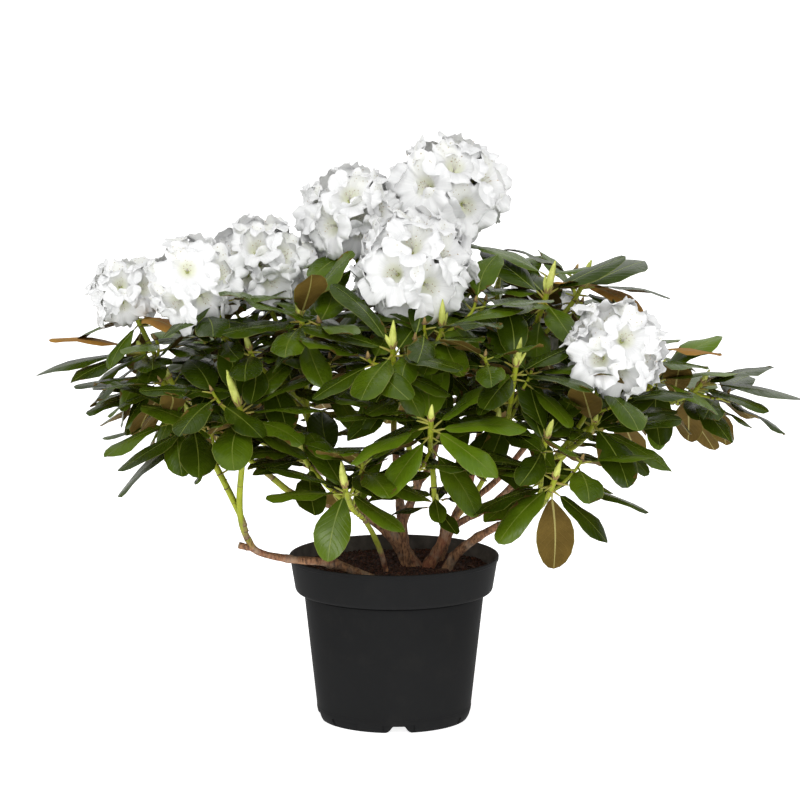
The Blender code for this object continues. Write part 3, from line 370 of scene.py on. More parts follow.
# shoots by mass: the tip, the bud's length, the leaves' size, and azimuth and pitch of its leading leaves
masses = {
    "left_low": ("bough_left_low", 0.08, (
        ("A", (-0.160, -0.160, 0.368), 0.041, 1.0, ((84, 58), (48, 36), (12, 26), (-8, 4), (-90, -22))),
        ("B", (-0.212, -0.125, 0.350), 0.016, 1.0,
         ((172, 26), (70, 28), (-82, -26), (-150, -24), (-168, -40, 1.12))),
        ("side", (-0.235, -0.088, 0.385), 0.014, 0.9, ((178, -2), (110, 20))))),
    "left_far": ("bough_left", 0.55, (
        ("C", (-0.267, -0.050, 0.410), 0.0, 1.0,
         ((176, 8), (-176, -9, 1.26), (-150, -16), (-84, 2), (28, 14))),
        ("low", (-0.240, 0.000, 0.360), 0.020, 1.0, ((180, 4, 1.1), (-165, -10), (160, 8))))),
    "left_inner": ("bough_left_inner", 0.45, (
        ("D", (-0.097, -0.130, 0.458), 0.022, 1.0, ((32, 38), (-84, 40), (-150, -4))),
        ("second", (-0.150, -0.120, 0.420), 0.018, 0.95, ((-20, -8), (-100, -12), (175, 5))))),
    "front_left": ("bough_front_left", 0.5, (
        ("I", (-0.050, -0.200, 0.290), 0.030, 0.95,
         ((-102, -46), (-38, -24), (168, 16), (-172, -2), (124, 38), (20, 14))),
        ("inner", (-0.095, -0.140, 0.315), 0.016, 0.9, ((-160, 0), (150, 20))))),
    "front": ("bough_front", 0.35, (
        ("H", (0.038, -0.215, 0.362), 0.018, 1.08,
         ((170, 14), (-172, 6), (-152, -16), (-44, -22), (26, 30), (0, 2), (92, 44))),
        ("low", (0.044, -0.108, 0.252), 0.014, 0.5, ((-170, -5), (-60, -30), (80, 10))))),
    "centre": ("bough_mid", 0.4, (
        ("E", (-0.001, -0.185, 0.432), 0.032, 1.0,
         ((140, 40), (174, 16), (-112, -18), (-42, -4), (62, 26))),
        ("F", (0.050, -0.145, 0.448), 0.030, 0.95, ((4, 14), (-76, -24), (150, 12))))),
    "front_right": ("bough_front_right", 0.6, (
        ("G", (0.126, -0.165, 0.410), 0.032, 0.95,
         ((150, 18), (100, 46), (-112, -22), (-12, -6), (35, 20))),
        ("low", (0.108, -0.130, 0.345), 0.016, 0.95, ((-60, -12), (-5, -4), (-150, -10))))),
    "right_front": ("bough_far_right", 0.6, (
        ("J", (0.166, -0.190, 0.297), 0.022, 1.0,
         ((172, 20), (-10, -16, 1.15), (-135, -34), (-165, -14), (100, -60))),
        ("upper", (0.158, -0.165, 0.335), 0.022, 0.95, ((106, 48), (58, 44), (-152, 4))))),
    "right": ("bough_right_mid", 0.5, (
        ("K", (0.209, -0.120, 0.344), 0.0, 1.0, ((-70, -32), (-92, 40), (-20, -26), (30, 24), (5, 6))),)),
    "right_high": ("bough_right_high", 0.4, (
        ("L", (0.161, -0.055, 0.470), 0.036, 1.0,
         ((16, 22, 1.08), (112, 18), (140, 28), (-58, -14), (-120, 6))),
        ("behind", (0.200, 0.010, 0.468), 0.030, 1.0, ((0, -4), (40, 14))),
        ("inner", (0.110, 0.020, 0.462), 0.016, 1.0, ((150, 10), (60, 20), (-140, -8))))),
    "right_far": ("bough_right_far", 0.45, (
        ("M", (0.280, -0.025, 0.378), 0.018, 1.0, ((30, 24), (-90, -36), (-45, -12), (8, 6))),
        ("far", (0.330, 0.020, 0.362), 0.016, 1.0, ((-8, -8, 1.2), (18, 10), (-32, -10))))),
    "back_left": ("bough_back_left", 0.4, (
        ("outer", (-0.120, 0.200, 0.365), 0.024, 1.0, ((110, 0), (70, 10))),
        ("side", (-0.185, 0.130, 0.385), 0.024, 1.0, ((150, 5),)),
        ("inner", (-0.070, 0.120, 0.405), 0.020, 1.0, ((90, 20),)))),
    "back_far_left": ("bough_back_far_left", 0.5, (
        ("outer", (-0.225, 0.080, 0.345), 0.022, 1.0, ((165, -5), (120, -5))),
        ("upper", (-0.180, 0.040, 0.400), 0.018, 1.0, ((170, 20),)))),
    "back": ("bough_back", 0.4, (
        ("outer", (0.010, 0.225, 0.350), 0.024, 1.0, ((90, -5), (60, 5))),
        ("low", (-0.030, 0.160, 0.330), 0.018, 1.0, ((130, -10),)),
        ("inner", (0.055, 0.140, 0.410), 0.020, 1.0, ((80, 20),)))),
    "back_right": ("bough_back_right", 0.4, (
        ("outer", (0.125, 0.200, 0.360), 0.024, 1.0, ((70, 0), (40, 5))),
        ("inner", (0.150, 0.110, 0.405), 0.020, 1.0, ((60, 15),)))),
    "back_far_right": ("bough_back_far_right", 0.5, (
        ("outer", (0.235, 0.130, 0.345), 0.022, 1.0, ((35, -5), (60, -5))),
        ("upper", (0.215, 0.075, 0.385), 0.018, 1.0, ((10, 10),)))),
    "crown": ("bough_crown", 0.35, (
        ("front", (0.062, -0.060, 0.440), 0.0, 0.95, ((-30, 0), (-80, -5))),)),
}

# trusses: the mass that carries each, the middle of its dome, the dome's radius and outer florets
trusses = {
    "truss_far_left": ("left_far", (-0.284, -0.050, 0.468), 0.036, 6),
    "truss_left": ("left_inner", (-0.208, -0.110, 0.487), 0.050, 8),
    "truss_left_inner": ("left_inner", (-0.142, -0.052, 0.497), 0.052, 9),
    "truss_centre_left": ("crown", (-0.046, -0.030, 0.546), 0.056, 9),
    "truss_top": ("crown", (0.058, 0.000, 0.568), 0.063, 11),
    "truss_front": ("crown", (0.020, -0.105, 0.503), 0.064, 11),
    "truss_right": ("right", (0.226, -0.130, 0.418), 0.055, 9),
    "truss_back_left": ("back_left", (-0.105, 0.130, 0.455), 0.048, 6),
    "truss_back": ("back", (0.010, 0.165, 0.455), 0.050, 7),
    "truss_back_right": ("back_right", (0.165, 0.165, 0.400), 0.046, 6),
}

shootRule = {
    "radius": 0.0029, "rootShare": 1.25, "taper": 0.9, "sides": 3, "steps": 3, "fineSteps": 16,
    "axis": Vector((0.02, 0.0, 0.0)), "reach": 0.25, "lean": 0.45, "waver": 0.06,
    "leavingPull": 0.8, "arrivingPull": 0.9, "asidePull": 0.12, "spread": 0.12, "spreadGrowth": 4,
    "lowestFork": 0.03, "highestFork": 0.9, "guard": 0.0062, "tries": 14,
    "budWidth": 0.0085, "budBelly": 0.5, "budBellyPlace": 0.35, "budTip": 0.08,
    "budLeast": 0.55, "budGrowth": 0.09,
}
leafRule = {
    "length": 0.094, "halfWidth": 0.185, "thickness": 0.014, "petiole": 0.0016,
    "whorl": 6, "trussWhorl": 4, "trussSize": 0.92, "whorlTop": 0.003, "whorlStep": 0.0026,
    "topPitch": math.radians(26), "lowPitch": math.radians(-24), "tries": 12,
    "sizes": (0.93, 1.07), "droops": (0.18, 0.45), "rolls": (-0.22, 0.22),
    "waver": 0.03, "turn": 0.035, "shrink": 0.025, "facing": 0.45, "steepest": 0.92, "levelled": 0.8,
    "ruleShrink": 0.12,
    "sunk": 0.0006, "old": 1, "oldDepth": 0.052, "oldLeastReach": 0.083, "oldStep": 0.006,
    "oldPitch": math.radians(-14.4), "oldSize": 0.92, "guardLift": 0.0016, "guardWidening": 20,
    "petioleShare": 0.17, "shoulder": 0.36, "middle": 0.54, "broadest": 0.70,
    "shoulderWidth": 0.80, "edgeDrop": 0.10,
    # carried on to more leaves than the solids hold
    "fullWhorl": 10, "fullTrussWhorl": 7, "fullLowPitch": math.radians(-38), "fullSize": 0.95,
    "fullShrink": 0.15, "fineGuard": 0.0007, "fineTries": 9, "skirt": 0.268, "lowest": 0.20,
    # and to old leaves further down each shoot
    "fullOld": 4, "fullOldEach": 0.09, "fullOldFrom": 0.039, "fullOldStep": 0.011, "fullOldGap": 0.02,
    "fullOldEnd": 0.012, "fullOldPitches": (0.6, 1.1, 1.6), "fullOldSize": 0.86,
}
sideRule = {
    "shares": (0.38, 0.62, 0.84), "leastReach": 0.085, "length": (0.036, 0.058), "leaving": math.radians(38),
    "tries": 6, "tryTurn": 0.37, "rise": 0.25, "leaves": 7, "leafStep": 0.0022, "fewest": 3, "size": 0.88,
    "radius": 0.0019, "taper": 0.85, "guard": 0.0008, "steps": 8, "topPitch": math.radians(30),
    "lowPitch": math.radians(-20), "lowest": 0.30, "bud": 0.007,
    # how high its leaves may stand, from the left to the right
    "tops": ((-0.40, 0.39), (-0.24, 0.425), (-0.05, 0.47), (0.09, 0.515), (0.24, 0.515), (0.30, 0.43),
             (0.44, 0.39)),
    "backLower": 0.17,
}
floretRule = {
    "spread": 0.52, "depth": 0.50, "mouthDepth": 0.30, "lobes": 5, "domeAngle": math.radians(104),
    "throat": 0.0024, "peduncle": 0.0024, "peduncleTaper": 0.8, "peduncleSides": 4,
    "rachisDrop": 0.62, "rachisShare": 0.50, "tries": 10, "guard": 0.001, "turn": 0.05, "shrink": 0.03,
    "mouths": (0.82, 0.90), "spreads": (0.95, 1.05), "waver": 0.12, "firstPlace": 0.35, "rootFrom": 0.12,
    "rootRun": 0.7,
    # more florets, up to as many again, fill the dome between those of the solid
    "fillPlaces": 140, "fillAngle": math.radians(116), "fillLeast": math.radians(31),
    "fillMouths": (0.74, 0.83), "fillSpreads": (0.86, 0.98), "fillDepth": 0.92, "fillRoots": (0.15, 0.8),
}


# How the shoots, leaves and trusses grow

class Room:
    # what already stands in the crown
    def __init__(self):
        self.pieces = []

    def add(self, owner, group, shape):
        self.pieces.append((owner, group, self.box(shape[0]), BVHTree.FromPolygons(*shape)))

    def box(self, points):
        return [min(p[i] for p in points) for i in range(3)], [max(p[i] for p in points) for i in range(3)]

    def clear(self, shape, skipOwners=(), skipGroups=()):
        low, high = self.box(shape[0])
        tree = BVHTree.FromPolygons(*shape)
        for owner, group, (otherLow, otherHigh), other in self.pieces:
            if owner in skipOwners or group in skipGroups:
                continue
            if any(low[i] > otherHigh[i] or high[i] < otherLow[i] for i in range(3)):
                continue
            if tree.overlap(other):
                return False
        return True


def limbRadii(name, way, extra=0.0):
    root, tip = limbs[name][2]
    radii = []
    for index, walked in enumerate(walks(way)):
        flare = flares.get(name, 0.0) * math.exp(-walked / flareReach)
        radii.append(between(root, tip, index / (len(way) - 1)) + flare + extra)
    return radii


def plainLimb(name, extra):
    way = smoothWay(limbs[name][1], 2)
    return way, tube(way, limbRadii(name, way, extra), 6, levelFoot=limbs[name][0] == "soil")


def shootAxis(tip, rng):
    rule = shootRule
    out = Vector((tip.x - rule["axis"].x, tip.y - rule["axis"].y, 0.0))
    axis = Vector((0, 0, 1)) + rule["lean"] * out / rule["reach"]
    axis += Vector((rng.uniform(-1, 1), rng.uniform(-1, 1), 0.0)) * rule["waver"]
    return axis.normalized()


def budRings(tip, axis, length):
    rule = shootRule
    width = rule["budWidth"] * min(1.0, rule["budLeast"] + length / rule["budGrowth"])
    places = [tip + share * length * axis for share in (rule["budBellyPlace"], 1.0)]
    return places, [rule["budBelly"] * width, rule["budTip"] * width]


def growTwig(start, heading, tip, axis, radii, bud, room, mass):
    rule = shootRule
    steps = rule["steps"]
    reach = (tip - start).length
    rng = random.Random(f"twig {mass} {tip.x:.3f} {tip.z:.3f}")
    for attempt in range(rule["tries"]):
        aside = Vector([rng.uniform(-1, 1) for _ in range(3)]) * reach * rule["asidePull"] * attempt
        leaving = heading * reach * rule["leavingPull"] + aside
        arriving = axis * reach * rule["arrivingPull"] - aside
        way = bend(start, leaving, tip, arriving, steps)
        thickness = [radii[0] + (radii[1] - radii[0]) * step / steps for step in range(steps + 1)]
        budPlaces, budRadii = budRings(tip, axis, bud) if bud else ([], [])
        shape = tube(way + budPlaces, thickness + budRadii, rule["sides"], squareTo=(heading, axis))
        guard = tube(way[1:] + budPlaces[-1:], [rule["guard"]] * (steps + bool(bud)), rule["sides"])
        if room.clear(guard, skipGroups=(mass,)) and room.clear(shape, (masses[mass][0],), (mass,)):
            return way, bend(start, leaving, tip, arriving, rule["fineSteps"]), shape
    return None, None, None


def leafPlacer(root, along, up, length, droop, roll):
    # places a share of the way along a leaf that arches down to its tip
    side = along.cross(up).normalized()
    normal = side.cross(along)
    turn = Matrix.Rotation(roll, 3, along)
    side, normal = turn @ side, turn @ normal

    def place(share, across, lift):
        angle = droop * share
        forward = length * math.sin(angle) / droop
        down = length * (1 - math.cos(angle)) / droop
        return root + forward * along - down * normal + across * side + lift * ray(normal, along, angle)

    return place, normal


def plainLeaf(form, grow=0.0, fromShare=0.0):
    # the solid's own leaf, which keeps the others off
    rule = leafRule
    root, along, up, length, droop, roll = form
    place, normal = leafPlacer(*form)
    width = rule["halfWidth"] * length * (1 + rule["guardWidening"] * grow)
    thick = rule["thickness"] * length + grow
    halfRoot = rule["petiole"] / 2 + grow
    base = root - rule["sunk"] * along if fromShare == 0 else place(fromShare, 0, 0)
    points = [base + normal * halfRoot, base - normal * halfRoot]
    for share, part in ((rule["shoulder"], rule["shoulderWidth"]), (rule["broadest"], 1.0)):
        across = part * width
        points.append(place(share, -across, -rule["edgeDrop"] * across))
        points.append(place(share, across, -rule["edgeDrop"] * across))
    points.append(place(1.0, 0.0, 0.0))
    points.append(place(rule["middle"], 0.0, thick))
    top, foot, left, right, leftFar, rightFar, tip, ridge = range(8)
    rim = (top, right, rightFar, tip, leftFar, left)
    faces = [(a, b, ridge) for a, b in zip(rim, rim[1:] + rim[:1])]
    faces += [(top, left, foot), (right, top, foot), (foot, left, right)]
    faces += [(right, left, leftFar), (right, leftFar, rightFar), (rightFar, leftFar, tip)]
    return points, faces


def placeLeaf(key, root, baseAlong, axis, room, mass, shoot, length, lift, tries):
    rule = leafRule
    rng = random.Random(key)
    length *= rng.uniform(*rule["sizes"])
    for attempt in range(tries):
        spread = rule["waver"] + rule["turn"] * attempt
        along = baseAlong + Vector([rng.uniform(-1, 1) for _ in range(3)]) * spread
        along.normalize()
        up = (Vector((0, 0, 1)) + rule["facing"] * axis).normalized()
        if abs(along.dot(up)) > rule["steepest"]:
            up = (axis - rule["levelled"] * Vector((along.x, along.y, 0))).normalized()
        droop = rng.uniform(*rule["droops"])
        roll = rng.uniform(*rule["rolls"])
        form = (root, along, up, length * (1 - rule["shrink"] * attempt), droop, roll)
        whole = plainLeaf(form, grow=lift)
        blade = plainLeaf(form, grow=lift, fromShare=rule["petioleShare"])
        if room.clear(whole, skipGroups=(mass,)) and room.clear(blade, (shoot + " stem",)):
            return form
    return None


def direction(azimuth, pitch):
    azimuth, pitch = math.radians(azimuth), math.radians(pitch)
    return Vector((math.cos(pitch) * math.cos(azimuth), math.cos(pitch) * math.sin(azimuth), math.sin(pitch)))


def whorlDirection(axis, angle, pitch):
    right = (Vector((1, 0, 0)) - axis.x * axis).normalized()
    return ray(ray(right, axis.cross(right), angle), axis, pitch)


def pointOn(way, share):
    at = share * (len(way) - 1)
    index = min(int(at), len(way) - 2)
    return way[index].lerp(way[index + 1], at - index), (way[index + 1] - way[index]).normalized()


def growMass(mass, ways, room):
    rule = shootRule
    bough, fork, shoots = masses[mass]
    heading = (ways[bough][-1] - ways[bough][-2]).normalized()
    start = ways[bough][-1] + gap * heading
    radius = min(rule["radius"] * rule["rootShare"], limbs[bough][2][1])
    rng = random.Random("mass " + mass)
    grown, stem = {}, None
    wanted = [(name, Vector(tip), bud, size, shown, None) for name, tip, bud, size, shown in shoots]
    for truss, (carrier, middle, size, _) in trusses.items():
        if carrier == mass:
            axis = shootAxis(Vector(middle), random.Random("axis " + truss))
            tip = Vector(middle) - floretRule["rachisDrop"] * size * axis
            wanted.append((truss, tip, 0.0, leafRule["trussSize"], (), truss))
    for name, tip, bud, size, shown, truss in wanted:
        axis = shootAxis(tip, random.Random("axis " + (truss or mass + name)))
        if stem is None:
            radii = (radius, rule["radius"])
            way, fine, shape = growTwig(start, heading, tip, axis, radii, bud, room, mass)
            stem = way
        else:
            share = fork + rng.uniform(-rule["spread"], rule["spread"]) * min(1, rule["spreadGrowth"] * fork)
            share = min(rule["highestFork"], max(rule["lowestFork"], share))
            root, stemHeading = pointOn(stem, share)
            leaving = (stemHeading + (tip - root).normalized()).normalized()
            radii = (rule["radius"], rule["taper"] * rule["radius"])
            way, fine, shape = growTwig(root, leaving, tip, axis, radii, bud, room, mass)
        if way is None:
            print("no way for", mass, name)
            continue
        grown[name] = {"way": way, "fine": fine, "axis": axis, "tip": tip, "shown": shown, "bud": bud,
                       "size": size, "truss": truss, "radii": radii, "leaves": []}
        room.add(mass + name + " stem", mass, shape)
    return grown


def whorlRoot(way, depth):
    for a, b in zip(way[::-1], way[-2::-1]):
        step = (b - a).length
        if depth <= step:
            return a.lerp(b, depth / step), (a - b).normalized()
        depth -= step
    return way[0], (way[1] - way[0]).normalized()


def plainFloret(mouth, facing, spread, depth, turn, root):
    rule = floretRule
    right = facing.orthogonal().normalized()
    other = facing.cross(right)

    def ring(middle, radius, count):
        turns = [turn + math.tau * index / count for index in range(count)]
        return [middle + radius * ray(right, other, t) for t in turns]

    rim = ring(mouth, spread, rule["lobes"])
    throat = ring(mouth - depth * facing, rule["throat"], 3)
    points = rim + throat + [root, mouth - rule["mouthDepth"] * depth * facing]
    count = len(rim)
    foot, hollow = count + 3, count + 4
    faces = [(hollow, index, (index + 1) % count) for index in range(count)]
    for index in range(count):
        after = (index + 1) % count
        near, far = count + index * 3 // count, count + (index + 1) * 3 // count % 3
        faces.append((near, after, index))
        if near != far:
            faces.append((after, near, far))
            faces.append((far, near, foot))
    return points, faces


def growTruss(name, room, shoot):
    rule = floretRule
    mass, middle, size, count = trusses[name]
    axis, middle = shoot["axis"], Vector(middle)
    rachis = shoot["tip"] + gap * axis
    top = rachis + rule["rachisShare"] * size * axis
    depth = size * rule["depth"]
    radii = [rule["peduncle"], rule["peduncleTaper"] * rule["peduncle"]]
    shapes = [tube([rachis, top], radii, rule["peduncleSides"])]
    florets = []
    for index in range(count):
        rng = random.Random(f"{name} {index}")
        level = 1 - (1 - math.cos(rule["domeAngle"])) * (index + rule["firstPlace"]) / count
        angle = index * goldenAngle + rng.uniform(-rule["waver"], rule["waver"])
        facing = whorlDirection(axis, angle, math.asin(level))
        root = top.lerp(rachis, rule["rootFrom"] + rule["rootRun"] * index / count)
        turn = rng.uniform(0, math.tau)
        for attempt in range(rule["tries"]):
            away = Vector([rng.uniform(-1, 1) for _ in range(3)]) * rule["turn"] * attempt
            facing = (facing + away).normalized()
            spread = rule["spread"] * size * rng.uniform(*rule["spreads"]) * (1 - rule["shrink"] * attempt)
            mouth = middle + facing * (size * rng.uniform(*rule["mouths"]))
            proud = mouth + rule["guard"] * facing
            guard = plainFloret(proud, facing, spread + rule["guard"], depth, turn, root)
            if room.clear(guard, skipGroups=(mass, name)):
                florets.append((mouth, facing, spread, depth, turn, root))
                shapes.append(plainFloret(*florets[-1]))
                break
    for shape in shapes:
        room.add(name, name, shape)
    rng = random.Random(name + " fill")
    free = []
    for place in range(rule["fillPlaces"]):
        level = 1 - (1 - math.cos(rule["fillAngle"])) * (place + 0.5) / rule["fillPlaces"]
        free.append(whorlDirection(axis, place * goldenAngle, math.asin(level)))
    for _ in range(count):
        # the widest gap left on the dome takes the next floret
        facing = max(free, key=lambda way: min(way.angle(floret[1]) for floret in florets))
        if min(facing.angle(floret[1]) for floret in florets) < rule["fillLeast"]:
            break
        mouth = middle + facing * (size * rng.uniform(*rule["fillMouths"]))
        spread = rule["spread"] * size * rng.uniform(*rule["fillSpreads"])
        florets.append((mouth, facing, spread, depth * rule["fillDepth"], rng.uniform(0, math.tau),
                        top.lerp(rachis, rng.uniform(*rule["fillRoots"]))))
    return {"florets": florets, "rachis": rachis, "top": top, "size": size, "middle": middle}


def addLeaf(room, mass, name, shoot, key, depth, along, size=1.0, fine=False):
    rule = leafRule
    owner, root = mass + name, whorlRoot(shoot["way"], depth)[0]
    length = rule["length"] * shoot["size"] * size
    lift, tries = (rule["fineGuard"], rule["fineTries"]) if fine else (rule["guardLift"], rule["tries"])
    form = placeLeaf(f"{owner} {key}", root, along.normalized(), shoot["axis"], room, mass, owner, length,
                     lift, tries)
    if form is None:
        return
    end = leafPlacer(*form)[0](1.0, 0.0, 0.0)
    inside = all(low < at < high for low, at, high in zip(cadBox[0], end, cadBox[1]))
    if fine and (end.z < rule["skirt"] or not inside):
        return
    if key.startswith("side") and not belowTop(end):
        return
    room.add(owner + " leaf", mass, plainLeaf(form, fromShare=rule["petioleShare"]))
    if not key.startswith("shown") and end.z < rule["lowest"]:
        return
    # lifted at its foot, so that the arched blade as a whole points the way it was given
    _, lean, up, length, droop, roll = form
    lean = (lean + math.tan(droop / 2) * lean.cross(up).cross(lean).normalized()).normalized()
    shoot["leaves"].append((key, (whorlRoot(shoot["fine"], depth)[0], lean, up, length, droop, roll)))


def growLeaves(grown, room):
    rule = leafRule
    everyShoot = [(mass, name, shoot) for mass, shoots in grown.items() for name, shoot in shoots.items()]

    def whorlDepth(index):
        return rule["whorlTop"] + rule["whorlStep"] * index

    for mass, name, shoot in everyShoot:
        for index, (azimuth, pitch, *size) in enumerate(shoot["shown"]):
            along = direction(azimuth, pitch)
            addLeaf(room, mass, name, shoot, f"shown {index}", whorlDepth(index), along, *size)
    for mass, name, shoot in everyShoot:
        wanted = rule["trussWhorl"] if shoot["truss"] else rule["whorl"]
        topPitch = 0.0 if shoot["truss"] else rule["topPitch"]
        shoot["turn"] = random.Random("turn " + mass + name).uniform(0, math.tau)
        count = len(shoot["shown"])
        for index in range(wanted - count):
            share = (index + count) / wanted
            pitch = between(topPitch, rule["lowPitch"], share)
            along = whorlDirection(shoot["axis"], shoot["turn"] + index * goldenAngle, pitch)
            addLeaf(room, mass, name, shoot, f"rule {index}", whorlDepth(index + count), along,
                    1.0 - rule["ruleShrink"] * share)
    for mass, name, shoot in everyShoot:
        if walks(shoot["way"])[-1] < rule["oldLeastReach"]:
            continue
        turn = random.Random("old " + mass + name).uniform(0, math.tau)
        for index in range(rule["old"]):
            depth = rule["oldDepth"] + rule["oldStep"] * index
            heading = whorlRoot(shoot["way"], depth)[1]
            along = whorlDirection(heading, turn + index * goldenAngle, rule["oldPitch"])
            addLeaf(room, mass, name, shoot, f"old {index}", depth, along, rule["oldSize"])
    # the finer growth: fuller whorls with hanging leaves, and more old leaves down the shoot
    for mass, name, shoot in everyShoot:
        kinds = ("fullTrussWhorl", "trussWhorl") if shoot["truss"] else ("fullWhorl", "whorl")
        full, had = [rule[kind] for kind in kinds]
        first = max(had, len(shoot["shown"]))
        for index in range(first, full):
            share = (index - first + 1) / (full - first)
            pitch = between(rule["lowPitch"], rule["fullLowPitch"], share)
            along = whorlDirection(shoot["axis"], shoot["turn"] + index * goldenAngle, pitch)
            addLeaf(room, mass, name, shoot, f"full {index}", whorlDepth(index), along,
                    rule["fullSize"] - rule["fullShrink"] * share, fine=True)
    for mass, name, shoot in everyShoot:
        turn = random.Random("fine old " + mass + name).uniform(0, math.tau)
        reach = walks(shoot["way"])[-1]
        for index in range(rule["fullOld"] + int(reach / rule["fullOldEach"])):
            depth = rule["fullOldFrom"] + rule["fullOldStep"] * index
            depth += rule["fullOldGap"] if index > rule["fullOld"] else 0.0
            if depth > reach - rule["fullOldEnd"]:
                break
            heading = whorlRoot(shoot["way"], depth)[1]
            pitch = rule["oldPitch"] * rule["fullOldPitches"][index % 3]
            along = whorlDirection(heading, turn + index * goldenAngle, pitch)
            addLeaf(room, mass, name, shoot, f"fine old {index}", depth, along, rule["fullOldSize"],
                    fine=True)


def belowTop(end):
    tops = sideRule["tops"]
    for (x, z), (nextX, nextZ) in zip(tops, tops[1:]):
        if end.x <= nextX:
            return end.z + sideRule["backLower"] * end.y < z + (nextZ - z) * (end.x - x) / (nextX - x)
    return False


def growSideTwigs(grown, room):
    # short leafy twigs fill the crown out from the shoots that the solids have
    rule = sideRule
    added = 0
    for mass, shoots in grown.items():
        for name, shoot in list(shoots.items()):
            if walks(shoot["fine"])[-1] < rule["leastReach"]:
                continue
            rng = random.Random("side " + mass + name)
            turn = rng.uniform(0, math.tau)
            for index, share in enumerate(rule["shares"]):
                root, heading = pointOn(shoot["fine"], share)
                for attempt in range(rule["tries"]):
                    leaving = turn + (index + rule["tryTurn"] * attempt) * goldenAngle
                    out = whorlDirection(heading, leaving, rule["leaving"])
                    reach = rng.uniform(*rule["length"])
                    tip = root + reach * (out + Vector((0, 0, rule["rise"]))).normalized()
                    axis = shootAxis(tip, rng)
                    way = bend(root, out * reach, tip, axis * reach, rule["steps"])
                    shape = tube(way[::rule["steps"] // 2], [rule["radius"] + rule["guard"]] * 3, 3)
                    if tip.z > rule["lowest"] and room.clear(shape, (mass + name + " stem",)):
                        break
                else:
                    continue
                twig = {"way": way, "fine": way, "axis": axis, "tip": tip, "shown": (), "bud": 0.0,
                        "size": rule["size"], "truss": None, "leaves": [], "side": True,
                        "radii": (rule["radius"], rule["radius"] * rule["taper"])}
                own = f"{name} side {index}"
                room.add(mass + own + " stem", mass, shape)
                for leaf in range(rule["leaves"]):
                    pitch = between(rule["topPitch"], rule["lowPitch"], leaf / (rule["leaves"] - 1))
                    depth = leafRule["whorlTop"] + rule["leafStep"] * leaf
                    along = whorlDirection(axis, turn + leaf * goldenAngle, pitch)
                    addLeaf(room, mass, own, twig, f"side {leaf}", depth, along, fine=True)
                if len(twig["leaves"]) >= rule["fewest"]:
                    shoots[own] = twig
                    added += 1
    print("side twigs:", added)


def growPlant():
    room = Room()
    pot = frame["nodes"]["pot"].data
    room.add("pot", "pot", ([v.co.copy() for v in pot.vertices], [tuple(p.vertices) for p in pot.polygons]))
    ways = {}
    for name in limbs:
        ways[name] = plainLimb(name, 0.0)[0]
        room.add(name, name, plainLimb(name, 2 * gap)[1])
    grown = {mass: growMass(mass, ways, room) for mass in masses}
    domes = {}
    for shoots in grown.values():
        for name, shoot in shoots.items():
            if shoot["truss"]:
                domes[name] = growTruss(name, room, shoot)
    growLeaves(grown, room)
    growSideTwigs(grown, room)
    return grown, domes


grown, domes = growPlant()
allShoots = [(mass, name, shoot) for mass, shoots in grown.items() for name, shoot in shoots.items()]
print("plant grown:", len(allShoots), "shoots,", sum(len(s["leaves"]) for _, _, s in allShoots), "leaves,",
      sum(len(d["florets"]) for d in domes.values()), "florets")
foliageNodes = ["foliage_" + mass for mass in masses]
trussNodes = list(trusses)


# Repeating small things on points, by a node tree
def repeatTree(name, source):
    # source is "points", where each point carries its facing and size, "surface" or "way"
    tree = bpy.data.node_groups.new(name, "GeometryNodeTree")
    sockets = {}
    for label, kind in (("Geometry", "NodeSocketGeometry"), ("Shape", "NodeSocketObject"),
                        ("Finish", "NodeSocketMaterial"), ("Spacing", "NodeSocketFloat"),
                        ("Smallest", "NodeSocketFloat"), ("Largest", "NodeSocketFloat")):
        sockets[label] = tree.interface.new_socket(label, in_out="INPUT", socket_type=kind).identifier
    tree.interface.new_socket("Geometry", in_out="OUTPUT", socket_type="NodeSocketGeometry")
    given = {socket.name: socket for socket in addNode(tree, "NodeGroupInput").outputs}

    def wire(kind, settings, links, output=0):
        return addNode(tree, kind, settings, links).outputs[output]

    def upright(along):
        return wire("FunctionNodeAlignRotationToVector", {"axis": "Z"}, {"Vector": along})

    def attribute(kind, label):
        return wire("GeometryNodeInputNamedAttribute", {"data_type": kind}, {"Name": label})

    spots = given["Geometry"]
    if source == "points":
        rotation, scale = upright(attribute("FLOAT_VECTOR", "facing")), attribute("FLOAT", "size")
    else:
        scale = wire("FunctionNodeRandomValue", {"data_type": "FLOAT"},
                     {2: given["Smallest"], 3: given["Largest"], "Seed": 7}, 1)
    if source == "surface":
        spots = wire("GeometryNodeDistributePointsOnFaces", {"distribute_method": "POISSON"},
                     {"Mesh": spots, "Distance Min": given["Spacing"], "Density Max": 400000.0, "Seed": 3})
        rotation = wire("FunctionNodeRandomValue", {"data_type": "FLOAT_VECTOR"},
                        {0: (0.0, 0.0, 0.0), 1: (math.tau, math.tau, math.tau), "Seed": 5})
    elif source == "way":
        line = wire("GeometryNodeMeshToCurve", {}, {"Mesh": spots})
        spots = wire("GeometryNodeResampleCurve", {"mode": "LENGTH"},
                     {"Curve": line, "Length": given["Spacing"]})
        rotation = upright(wire("GeometryNodeInputTangent", {}, {}))
    shape = wire("GeometryNodeObjectInfo", {}, {"Object": given["Shape"]}, "Geometry")
    many = wire("GeometryNodeInstanceOnPoints", {}, {"Points": spots, "Instance": shape, "Rotation": rotation,
                                                     "Scale": scale})
    real = wire("GeometryNodeRealizeInstances", {}, {"Geometry": many})
    finish = wire("GeometryNodeSetMaterial", {}, {"Geometry": real, "Material": given["Finish"]})
    addNode(tree, "NodeGroupOutput", {}, {0: finish})
    return tree, sockets


